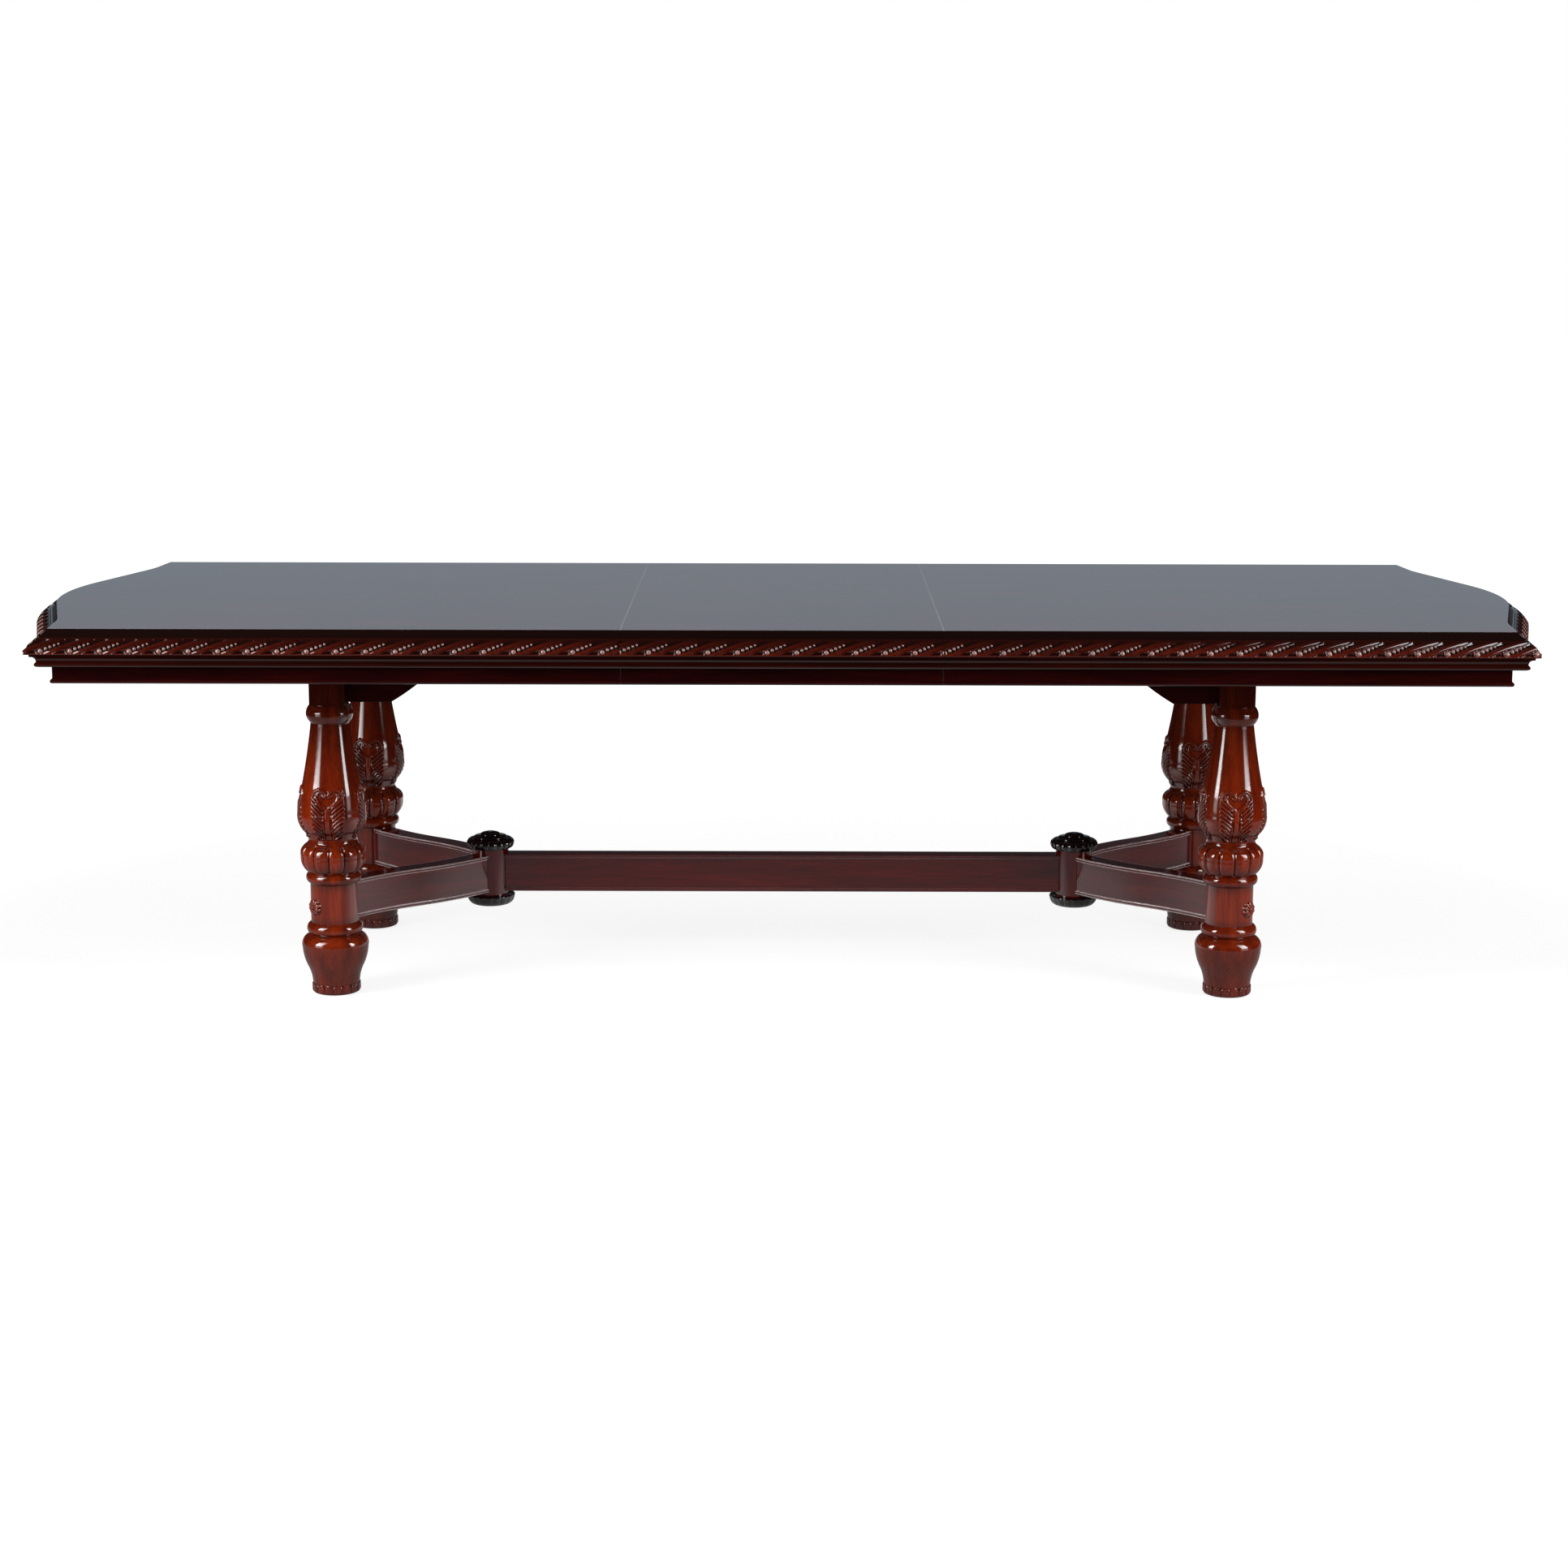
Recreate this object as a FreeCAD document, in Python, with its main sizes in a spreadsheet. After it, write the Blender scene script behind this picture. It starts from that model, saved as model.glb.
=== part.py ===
import FreeCAD, Part
import math
import os
import Sketcher
from types import SimpleNamespace

V = FreeCAD.Vector

# Side along the table, side across it and name of each leg.
SIDES = ((-1, -1, "front_left"), (-1, 1, "back_left"), (1, -1, "front_right"), (1, 1, "back_right"))

# Driving sizes in millimetres, with angles in degrees and counts as plain numbers.
SIZES = (
    ("overall_length", 3048.0, "over the edge moulding, with the leaf in"),
    ("overall_width", 1219.0, "over the edge moulding"),
    ("table_height", 775.0, "floor to top surface"),
    ("leaf_length", 610.0, "removable leaf, seam to seam"),
    ("corner_setback", 98.0, "how far the corners stand back from the middle of the bowed end"),
    ("bow_radius", 740.0, "plan radius of the middle of the end"),
    ("bow_slope", 14.0, "angle of the flanks of the end"),
    ("bend_radius", 300.0, "plan radius where flank meets shoulder"),
    ("shoulder_lean", 4.5, "angle of the shoulders beside the corners"),
    ("top_thickness", 22.0, "top panels"),
    ("seam_gap", 0.4, "between leaf and half top"),
    ("running_gap", 0.3, "between sliding wooden faces"),
    ("joint_gap", 0.3, "glue line of a scribed shoulder"),
    ("overrun", 60.0, "how far a cutter runs past what it cuts"),
    ("moulding_reach", 41.0, "edge moulding beyond the flat top"),
    ("moulding_depth", 71.0, "edge moulding, top to underside"),
    ("apron_height", 83.0, "below the top panel"),
    ("apron_thickness", 20.0, "apron boards"),
    ("apron_setback", 5.0, "apron face behind the edge of the flat top"),
    ("apron_bead", 9.0, "height of the half-round at the foot of the apron"),
    ("leg_spread", 1800.0, "between leg axes along the table"),
    ("leg_track", 580.0, "between leg axes across the table"),
    ("block_side", 70.0, "square leg block"),
    ("collar_radius", 47.0, "leg collar"),
    ("collar_height", 38.0, "leg collar"),
    ("vase_radius", 65.0, "swelling of the leg"),
    ("vase_height", 224.0, "swelling of the leg"),
    ("waist_radius", 49.5, "neck above the melon"),
    ("waist_height", 18.0, "neck above the melon"),
    ("melon_radius", 65.0, "gadrooned melon"),
    ("melon_height", 60.0, "gadrooned melon"),
    ("melon_lobes", 12.0, "number of lobes"),
    ("melon_arc_radius", 34.0, "meridian of the melon"),
    ("flute_radius", 4.5, "grooves between the lobes"),
    ("flute_sweep", 150.0, "angle that a groove runs over the melon"),
    ("ring_radius", 56.5, "rings above and below the barrel"),
    ("upper_ring_height", 22.0, "ring above the barrel"),
    ("lower_ring_height", 25.0, "ring below the barrel"),
    ("barrel_radius", 47.2, "plain barrel that takes the arm"),
    ("barrel_height", 81.0, "plain barrel that takes the arm"),
    ("foot_radius", 66.0, "swelling of the foot"),
    ("foot_height", 100.0, "swelling of the foot"),
    ("sole_radius", 48.5, "ring at the foot of the leg"),
    ("sole_height", 20.5, "ring at the foot of the leg"),
    ("glide_radius", 18.0, "glide under each leg"),
    ("glide_thickness", 5.0, "glide under each leg"),
    ("glide_stand", 1.5, "glide below the wood"),
    ("hub_spread", 1228.0, "between hub axes"),
    ("hub_radius", 38.0, "round hub"),
    ("hub_bottom", 140.0, "underside of the hub above the floor"),
    ("hub_height", 98.0, "hub between its cap and foot"),
    ("hub_cap_radius", 49.5, "carved cap and foot of the hub"),
    ("hub_cap_height", 34.0, "stepped dome"),
    ("hub_foot_height", 22.0, "disc under the hub"),
    ("beam_bottom", 148.0, "underside of beam and arms above the floor"),
    ("beam_height", 78.0, "beam and arms"),
    ("beam_thickness", 45.0, "beam and arms"),
    ("lip_height", 7.0, "raised lip along the edges of beam and arms"),
    ("lip_reach", 2.0, "raised lip along the edges of beam and arms"),
    ("lip_bevel", 1.4, "bevelled corners of the lips"),
    ("arm_sway", 9.0, "rise of each half of the arm's plan curve"),
    ("bolt_radius", 4.0, "joint bolts"),
    ("bolt_clearance", 0.3, "round a bolt in its hole"),
    ("bolt_grip", 62.0, "bolt inside the piece that it pulls up"),
    ("bolt_head_radius", 8.0, "joint bolt heads"),
    ("bolt_head_height", 6.0, "joint bolt heads"),
    ("bolt_head_gap", 1.0, "round a bolt head in its counterbore"),
    ("arm_bolt_height", 182.0, "arm bolts and their caps above the floor"),
    ("hub_bolt_inset", 10.0, "depth of the counterbore in the hub"),
    ("cap_radius", 16.5, "rosette caps over the arm bolts"),
    ("cap_thickness", 13.0, "rosette caps over the arm bolts"),
    ("cap_seat_depth", 3.2, "flat seat of a rosette cap in the barrel"),
    ("rail_height", 52.0, "fixed rails on the leg blocks"),
    ("rail_width", 40.0, "fixed rails"),
    ("rail_length", 2000.0, "fixed rails"),
    ("tongue_height", 11.4, "tongue of a slide rail"),
    ("tongue_depth", 8.0, "tongue of a slide rail"),
    ("slide_rail_width", 32.0, "slide rails"),
    ("slide_rail_height", 46.0, "slide rails"),
    ("slide_rail_length", 980.0, "slide rails"),
    ("slide_rail_inset", 15.0, "slide rail behind the seam"),
    ("cross_rail_height", 70.0, "rail between the two blocks of a pedestal"),
    ("cross_rail_thickness", 40.0, "rail between the two blocks of a pedestal"),
    ("bearer_length", 215.0, "bearer beside each block, along its top"),
    ("bearer_flat", 90.0, "bearer beside each block, along its underside"),
    ("bearer_height", 106.0, "bearer beside each block"),
    ("bearer_thickness", 30.0, "bearer beside each block"),
    ("bearer_swell", 7.0, "rise of the curved end of the bearer"),
    ("hanger_bolt_length", 98.0, "bolts that hold the fixed rails on the blocks"),
    ("hanger_bolt_in_rail", 38.0, "part of those bolts inside the rail"),
    ("tie_length", 40.0, "board between the slide rails"),
    ("tie_offset", 850.0, "board between the slide rails, from the seam"),
    ("cleat_width", 40.0, "cleats under the top panels"),
    ("cleat_thickness", 22.0, "cleats under the top panels"),
    ("cleat_clearance", 8.0, "cleats beside the fixed rails"),
    ("inner_cleat_offset", 280.0, "inner cleats, from the seam"),
    ("outer_cleat_offset", 880.0, "outer cleats, from the seam"),
    ("leaf_cleat_offset", 150.0, "leaf cleats, from the middle of the table"),
    ("pin_radius", 4.0, "alignment pins"),
    ("pin_length", 32.0, "alignment pins"),
    ("pin_reach", 10.0, "alignment pins beyond the edge of the half top"),
    ("inner_pin_offset", 140.0, "inner alignment pins, from the middle"),
    ("outer_pin_offset", 430.0, "outer alignment pins, from the middle"),
    ("slot_clearance", 0.6, "leaf slots round the alignment pins"),
    ("bridge_length", 70.0, "board that carries the pinion, along the table"),
    ("bridge_thickness", 15.0, "board that carries the pinion"),
    ("gear_module", 3.0, "rack and pinion"),
    ("pinion_teeth", 16.0, "number of pinion teeth"),
    ("pressure_angle", 20.0, "rack and pinion"),
    ("gear_backlash", 0.5, "rack and pinion, at the pitch line"),
    ("gear_face", 12.0, "width of the teeth"),
    ("gear_lift", 1.0, "gears above the bridge"),
    ("axle_radius", 5.0, "pinion axle"),
    ("axle_clearance", 0.05, "pinion on its axle"),
    ("axle_head_radius", 9.0, "head of the axle"),
    ("axle_head_height", 3.0, "head of the axle"),
    ("rack_back", 11.0, "rack bar behind the pitch line"),
    ("rack_outer_reach", 420.0, "rack bar, from the middle to its fixed end"),
    ("rack_inner_reach", 90.0, "rack bar past the pinion"),
    ("rack_foot_length", 80.0, "raised foot of the rack"),
    ("rack_foot_width", 24.0, "raised foot of the rack"),
)

# Turned elements of a leg, from the floor up. Each point is a radius share, a height share and,
# where the stretch up to it is an arc, the rise of that arc as a share of the element's height.
SOLE_SHARES = ((0.88, 0.0), (1.0, 0.38, -0.10), (1.0, 0.85), (0.96, 1.0, -0.04))
FOOT_SHARES = ((0.715, 0.04), (0.85, 0.35, 0.015), (1.0, 0.74, -0.02), (0.825, 0.99, -0.05))
RING_SHARES = ((0.885, 0.05), (0.885, 0.95, -0.24))
BARREL_SHARES = ((1.0, 0.01), (1.0, 0.99))
MELON_SHARES = ((0.80, 0.02), (1.0, 0.55, -0.07), (0.815, 0.95, -0.083))
WAIST_SHARES = ((1.0, 0.1), (1.0, 0.9, 0.06))
VASE_SHARES = ((0.77, 0.01), (1.0, 0.20, -0.025), (0.88, 0.47, -0.007), (0.59, 0.99, 0.005))
COLLAR_SHARES = ((0.82, 0.02), (0.82, 0.98, -0.22))

# Edge moulding: outward share of the reach, downward share of the depth, arc rise as a share
# of the reach. Arris, hollow band, upper bead, rounded nose, fillet, cove and lower bead.
MOULDING_SHARES = (
    (0.0, 0.0), (0.24, 0.125, -0.015), (0.33, 0.18, 0.03), (0.33, 0.195), (1.0, 0.52, 0.08),
    (1.0, 0.60), (0.76, 0.645, 0.02), (0.76, 0.70), (0.49, 0.86, -0.09), (0.54, 0.875),
    (0.50, 0.98, 0.06), (0.40, 1.0),
)

# Stepped dome of the hub cap and the rounded disc of the hub foot: radius share of the cap
# radius, height share and arc rise as a share of the height.
HUB_CAP_SHARES = (
    (0.86, 0.0), (0.86, 0.60, -0.22), (0.70, 0.60), (0.62, 0.76, -0.06), (0.42, 0.78),
    (0.30, 0.95, -0.05), (0.06, 1.0, -0.02),
)
HUB_FOOT_SHARES = ((0.74, 0.0), (1.0, 0.72, -0.16), (0.92, 1.0, -0.12))
CAP_SHARES = ((1.0, 0.0), (1.0, 0.45), (0.55, 0.75, -0.14), (0.38, 0.75), (0.08, 1.0, -0.10))

# Rise of the bead along the foot of the apron, as a share of its height.
BEAD_SHARE = 0.46

# Teeth above and below the pitch line as shares of the module, and points along a flank.
ADDENDUM_SHARE = 0.9
DEDENDUM_SHARE = 1.25
FLANK_STEPS = 4


class Size:
    """A number together with the expression that works it out from the sheet."""

    def __init__(self, value, text):
        self.value = float(value)
        self.text = text

    def __add__(self, other):
        other = as_size(other)
        return Size(self.value + other.value, f"({self.text} + {other.text})")

    def __radd__(self, other):
        return as_size(other) + self

    def __sub__(self, other):
        other = as_size(other)
        return Size(self.value - other.value, f"({self.text} - {other.text})")

    def __rsub__(self, other):
        return as_size(other) - self

    def __mul__(self, other):
        other = as_size(other)
        return Size(self.value * other.value, f"({self.text} * {other.text})")

    def __rmul__(self, other):
        return as_size(other) * self

    def __truediv__(self, other):
        other = as_size(other)
        return Size(self.value / other.value, f"({self.text} / {other.text})")

    def __neg__(self):
        return Size(-self.value, f"(0 - {self.text})")


def as_size(number):
    """Return a Size, also for a plain number such as a side or a share."""
    if isinstance(number, Size):
        return number
    return Size(number, f"({number})")


def sine(angle):
    return Size(math.sin(math.radians(angle.value)), f"sin({angle.text})")


def cosine(angle):
    return Size(math.cos(math.radians(angle.value)), f"cos({angle.text})")


def tangent(angle):
    return Size(math.tan(math.radians(angle.value)), f"tan({angle.text})")


def slope_angle(run, rise):
    """Angle whose tangent is rise over run."""
    text = f"(atan({rise.text} / {run.text}) / (1 deg))"
    return Size(math.degrees(math.atan2(rise.value, run.value)), text)


def root(size):
    return Size(math.sqrt(size.value), f"sqrt({size.text})")


def make_sheet(doc):
    """Put the driving sizes in a spreadsheet and return them as named Sizes."""
    sheet = doc.addObject("Spreadsheet::Sheet", "Sizes")
    named = {}
    for row, (alias, value, note) in enumerate(SIZES, start=1):
        sheet.set(f"A{row}", str(value))
        sheet.setAlias(f"A{row}", alias)
        sheet.set(f"B{row}", note)
        named[alias] = Size(value, f"Sizes.{alias}")
    return SimpleNamespace(**named)


doc = FreeCAD.newDocument("pedestal_dining_table")
z = make_sheet(doc)
doc.recompute()

# Places worked out from the driving sizes.
ZERO = as_size(0)
panel_bottom = z.table_height - z.top_thickness
rail_top = panel_bottom - z.running_gap
rail_bottom = rail_top - z.rail_height
edge_y = z.overall_width / 2 - z.moulding_reach
bow_x = z.overall_length / 2 - z.moulding_reach
corner_x = bow_x - z.corner_setback
leaf_edge = z.leaf_length / 2
seam_x = leaf_edge + z.seam_gap
leg_x = z.leg_spread / 2
leg_y = z.leg_track / 2
hub_x = z.hub_spread / 2
beam_top = z.beam_bottom + z.beam_height
hub_top = z.hub_bottom + z.hub_height
bolt_hole = z.bolt_radius + z.bolt_clearance
head_hole = z.bolt_head_radius + z.bolt_head_gap
arm_run = root((leg_x - hub_x) * (leg_x - hub_x) + leg_y * leg_y)
arm_angle = slope_angle(leg_x - hub_x, leg_y)
rail_inner_y = leg_y - z.rail_width / 2
rail_outer_y = leg_y + z.rail_width / 2
slide_rail_y = rail_inner_y - z.running_gap
slide_rail_inner_y = slide_rail_y - z.slide_rail_width
tongue_mid = panel_bottom - z.slide_rail_height / 2
apron_inner_y = edge_y - z.apron_setback - z.apron_thickness
gear_bottom = rail_bottom + z.gear_lift
pitch_radius = z.gear_module * z.pinion_teeth / 2
pin_height = panel_bottom + z.top_thickness / 2


def bind(thing, path, size):
    """Tie a property of a document object to its expression."""
    thing.setExpression(path, size.text)


def place(thing, x=ZERO, y=ZERO, height=ZERO, turn=ZERO):
    """Put a sub-part at a place, turned about the vertical."""
    x, y, height, turn = as_size(x), as_size(y), as_size(height), as_size(turn)
    turned = FreeCAD.Rotation(V(0, 0, 1), turn.value)
    thing.Placement = FreeCAD.Placement(V(x.value, y.value, height.value), turned)
    bind(thing, "Placement.Base.x", x)
    bind(thing, "Placement.Base.y", y)
    bind(thing, "Placement.Base.z", height)
    bind(thing, "Placement.Rotation.Angle", turn)


def new_body(label, **where):
    body = doc.addObject("PartDesign::Body", label)
    body.Label = label
    place(body, **where)
    return body


def sketch_on(body, role, lift=ZERO):
    """Start a sketch on one of the body's origin planes, lifted along the plane's normal."""
    sketch = body.newObject("Sketcher::SketchObject", body.Name + "_sketch")
    plane = next(item for item in body.Origin.OriginFeatures if item.Role == role)
    sketch.AttachmentSupport = [(plane, "")]
    sketch.MapMode = "FlatFace"
    sketch.AttachmentOffset = FreeCAD.Placement(V(0, 0, lift.value), FreeCAD.Rotation())
    bind(sketch, "AttachmentOffset.Base.z", lift)
    return sketch


def pin_point(sketch, edge, end, x, y):
    """Fix one end of an edge at named distances from the sketch's origin."""
    for kind, axis, size in (("DistanceX", -2, x), ("DistanceY", -1, y)):
        if size.text == ZERO.text:
            sketch.addConstraint(Sketcher.Constraint("PointOnObject", edge, end, axis))
        else:
            row = sketch.addConstraint(Sketcher.Constraint(kind, -1, 1, edge, end, size.value))
            bind(sketch, f"Constraints[{row}]", size)


def add_arc(sketch, start, end, rise):
    """Add an arc that rises to the left of the line from start to end, and size its radius."""
    run_x, run_y = end[0] - start[0], end[1] - start[1]
    length = math.hypot(run_x.value, run_y.value)
    middle = V((start[0].value + end[0].value) / 2 - run_y.value / length * rise.value,
               (start[1].value + end[1].value) / 2 + run_x.value / length * rise.value, 0)
    curve = Part.Arc(V(start[0].value, start[1].value, 0), middle, V(end[0].value, end[1].value, 0))
    edge = sketch.addGeometry(curve)
    height = rise if rise.value > 0 else -rise
    radius = ((run_x * run_x + run_y * run_y) / 4 + rise * rise) / (2 * height)
    row = sketch.addConstraint(Sketcher.Constraint("Radius", edge, radius.value))
    bind(sketch, f"Constraints[{row}]", radius)
    return edge


def add_path(sketch, points, closed=True):
    """Draw lines and arcs through points of (x, y) or (x, y, rise of the arc that ends there)."""
    points = [tuple(as_size(part) for part in point) for point in points]
    followers = points[1:] + points[:1] if closed else points[1:]
    joints = []
    for start, end in zip(points, followers):
        if len(end) == 3:
            edge = add_arc(sketch, start, end, end[2])
        else:
            line = Part.LineSegment(V(start[0].value, start[1].value, 0),
                                    V(end[0].value, end[1].value, 0))
            edge = sketch.addGeometry(line)
        first = sketch.getPoint(edge, 1)
        begins = math.hypot(first.x - start[0].value, first.y - start[1].value)
        finishes = math.hypot(first.x - end[0].value, first.y - end[1].value)
        joints.append((edge, 1, 2) if begins < finishes else (edge, 2, 1))
    for index, (edge, begin, _) in enumerate(joints):
        if closed or index > 0:
            before, _, before_finish = joints[index - 1]
            sketch.addConstraint(Sketcher.Constraint("Coincident", before, before_finish, edge, begin))
        pin_point(sketch, edge, begin, points[index][0], points[index][1])
    if not closed:
        edge, _, finish = joints[-1]
        pin_point(sketch, edge, finish, points[-1][0], points[-1][1])
    return sketch


def add_circle(sketch, x, y, radius):
    x, y = as_size(x), as_size(y)
    edge = sketch.addGeometry(Part.Circle(V(x.value, y.value, 0), V(0, 0, 1), radius.value))
    pin_point(sketch, edge, 3, x, y)
    row = sketch.addConstraint(Sketcher.Constraint("Radius", edge, radius.value))
    bind(sketch, f"Constraints[{row}]", radius)
    return sketch


def rectangle(x0, y0, x1, y1):
    return ((x0, y0), (x1, y0), (x1, y1), (x0, y1))


def extrude(body, sketch, length, kind="Pad", backwards=False):
    """Pad a sketch along its normal, or pocket it against its normal."""
    feature = body.newObject(f"PartDesign::{kind}", f"{body.Name}_{kind}")
    feature.Profile = sketch
    feature.Length = length.value
    feature.Reversed = backwards
    bind(feature, "Length", length)
    return feature


def turn_profile(body, sketch, axis="V_Axis"):
    """Revolve a sketch about its own vertical or horizontal axis."""
    feature = body.newObject("PartDesign::Revolution", f"{body.Name}_turning")
    feature.Profile = sketch
    feature.ReferenceAxis = (sketch, [axis])
    return feature


def bore(body, radius, length, x=ZERO, y=ZERO, height=ZERO, axis=V(0, 0, 1), turn=ZERO):
    """Drill a round hole from a point along an axis, which may be turned about the vertical."""
    hole = body.newObject("PartDesign::SubtractiveCylinder", f"{body.Name}_bore")
    hole.Radius = radius.value
    hole.Height = length.value
    bind(hole, "Radius", radius)
    bind(hole, "Height", length)
    x, y, height, turn = as_size(x), as_size(y), as_size(height), as_size(turn)
    direction = FreeCAD.Rotation(V(0, 0, 1), turn.value).multiply(FreeCAD.Rotation(V(0, 0, 1), axis))
    hole.AttachmentOffset = FreeCAD.Placement(V(x.value, y.value, height.value), direction)
    plane = next(item for item in body.Origin.OriginFeatures if item.Role == "XY_Plane")
    hole.AttachmentSupport = [(plane, "")]
    hole.MapMode = "FlatFace"
    bind(hole, "AttachmentOffset.Base.x", x)
    bind(hole, "AttachmentOffset.Base.y", y)
    bind(hole, "AttachmentOffset.Base.z", height)
    return hole


def bevel_edges(body, size, wanted):
    """Bevel the edges of a body that the test picks."""
    doc.recompute()
    base = body.Tip
    edges = enumerate(base.Shape.Edges, start=1)
    names = [f"Edge{index}" for index, edge in edges if wanted(edge)]
    bevel = body.newObject("PartDesign::Chamfer", f"{body.Name}_bevel")
    bevel.Base = (base, names)
    bevel.Size = size.value
    bind(bevel, "Size", size)
    return bevel


def box(label, low, high):
    """A plain board between two corners."""
    board = doc.addObject("Part::Box", label)
    board.Label = label
    low = [as_size(part) for part in low]
    high = [as_size(part) for part in high]
    for name, start, end in zip(("Length", "Width", "Height"), low, high):
        size = end - start
        setattr(board, name, size.value)
        bind(board, name, size)
    place(board, low[0], low[1], low[2])
    return board


def group(label, pieces, turn=ZERO):
    """Several separate solids that share one node."""
    together = doc.addObject("Part::Compound", label)
    together.Label = label
    together.Links = pieces
    place(together, turn=turn)
    return together


def turned_points(elements):
    """Stack turned elements and return the outline of half their section."""
    height = z.glide_stand
    points = [(ZERO, height)]
    for radius, length, shares in elements:
        for share in shares:
            point = [radius * share[0], height + length * share[1]]
            if len(share) == 3:
                point.append(length * share[2])
            points.append(tuple(point))
        height = height + length
    points.append((points[-1][0], height))
    points.append((ZERO, height))
    return points, height


def toward_hub(side_x, side_y):
    """Heading from a leg to its hub."""
    return arm_angle * (side_x * side_y) + (180 if side_x > 0 else 0)


def leg(label, side_x, side_y):
    """A turned leg with its square block, its gadrooned melon and its bolt holes."""
    body = new_body(label, x=side_x * leg_x, y=side_y * leg_y)
    points, block_bottom = turned_points((
        (z.sole_radius, z.sole_height, SOLE_SHARES),
        (z.foot_radius, z.foot_height, FOOT_SHARES),
        (z.ring_radius, z.lower_ring_height, RING_SHARES),
        (z.barrel_radius, z.barrel_height, BARREL_SHARES),
        (z.ring_radius, z.upper_ring_height, RING_SHARES),
        (z.melon_radius, z.melon_height, MELON_SHARES),
        (z.waist_radius, z.waist_height, WAIST_SHARES),
        (z.vase_radius, z.vase_height, VASE_SHARES),
        (z.collar_radius, z.collar_height, COLLAR_SHARES),
    ))
    turn_profile(body, add_path(sketch_on(body, "XZ_Plane"), points))
    half = z.block_side / 2
    block = add_path(sketch_on(body, "XY_Plane", block_bottom), rectangle(-half, -half, half, half))
    extrude(body, block, rail_bottom - block_bottom)
    flutes(body)
    inward = toward_hub(side_x, side_y)
    seat = z.barrel_radius - z.cap_seat_depth
    far = z.barrel_radius + z.overrun
    along = V(1, 0, 0)
    arm_side = dict(height=z.arm_bolt_height, axis=along, turn=inward)
    outer_side = dict(height=z.arm_bolt_height, axis=-along, turn=inward)
    bore(body, bolt_hole, far, **arm_side)
    bore(body, bolt_hole, seat, **outer_side)
    bore_from(body, head_hole, seat - z.bolt_head_height - z.bolt_head_gap, far, inward)
    bore_from(body, z.cap_radius + z.joint_gap, seat, far, inward)
    bore(body, z.glide_radius + z.joint_gap, z.glide_thickness, height=ZERO)
    depth = z.hanger_bolt_length - z.hanger_bolt_in_rail + z.bolt_clearance
    bore(body, bolt_hole, depth + z.overrun, height=rail_bottom - depth)
    return body


def bore_from(body, radius, start, length, inward):
    """Counterbore the outer side of a leg, from a distance off its axis outwards."""
    hole = bore(body, radius, length, height=z.arm_bolt_height, axis=V(-1, 0, 0), turn=inward)
    outward = inward + 180
    bind(hole, "AttachmentOffset.Base.x", start * cosine(outward))
    bind(hole, "AttachmentOffset.Base.y", start * sine(outward))
    return hole


def melon_middle():
    below = z.glide_stand + z.sole_height + z.foot_height + z.lower_ring_height + z.barrel_height
    return below + z.upper_ring_height + z.melon_height * MELON_SHARES[1][1]


def flutes(body):
    """Cut one groove down the melon and repeat it round the leg."""
    sketch = sketch_on(body, "XY_Plane", melon_middle())
    add_circle(sketch, z.melon_radius, ZERO, z.flute_radius)
    axis_x = z.melon_radius - z.melon_arc_radius
    axis = sketch.addGeometry(
        Part.LineSegment(V(axis_x.value, 0, 0), V(axis_x.value, z.melon_arc_radius.value, 0)), True)
    pin_point(sketch, axis, 1, axis_x, ZERO)
    pin_point(sketch, axis, 2, axis_x, z.melon_arc_radius)
    groove = body.newObject("PartDesign::Groove", f"{body.Name}_flute")
    groove.Profile = sketch
    groove.ReferenceAxis = (sketch, ["Axis0"])
    groove.Midplane = True
    groove.Angle = z.flute_sweep.value
    bind(groove, "Angle", z.flute_sweep)
    pattern = body.newObject("PartDesign::PolarPattern", f"{body.Name}_flutes")
    pattern.Originals = [groove]
    pattern.Axis = (next(item for item in body.Origin.OriginFeatures if item.Role == "Z_Axis"), [""])
    pattern.Angle = 360
    pattern.Occurrences = int(z.melon_lobes.value)
    bind(pattern, "Occurrences", z.melon_lobes)
    body.Tip = pattern


def lipped_section():
    """Section of beam: a board with a raised lip along its top and bottom edges."""
    half = z.beam_thickness / 2
    face = half - z.lip_reach
    low = z.beam_bottom
    high = beam_top
    return (
        (-half, low), (half, low), (half, low + z.lip_height), (face, low + z.lip_height),
        (face, high - z.lip_height), (half, high - z.lip_height), (half, high),
        (-half, high), (-half, high - z.lip_height), (-face, high - z.lip_height),
        (-face, low + z.lip_height), (-half, low + z.lip_height),
    )


def scribe(body, circles):
    """Hollow the ends of a beam or an arm to fit the round pieces that they meet."""
    sketch = sketch_on(body, "XY_Plane", beam_top + z.overrun)
    for x, y, radius in circles:
        add_circle(sketch, x, y, radius + z.joint_gap)
    extrude(body, sketch, z.beam_height + 2 * z.overrun, "Pocket")


def centre_beam():
    """The long beam between the two hubs."""
    body = new_body("centre_beam")
    section = add_path(sketch_on(body, "YZ_Plane", -hub_x), lipped_section())
    extrude(body, section, z.hub_spread)
    half = z.beam_thickness / 2
    bevel_edges(body, z.lip_bevel, lambda edge: is_outer_lip(edge, half.value))
    scribe(body, ((hub_x, ZERO, z.hub_radius), (-hub_x, ZERO, z.hub_radius)))
    reach = z.hub_radius + z.bolt_grip + z.bolt_clearance
    bore(body, bolt_hole, reach, x=hub_x, height=hub_bolt_height(), axis=V(-1, 0, 0))
    bore(body, bolt_hole, reach, x=-hub_x, height=hub_bolt_height(), axis=V(1, 0, 0))
    return body


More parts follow.
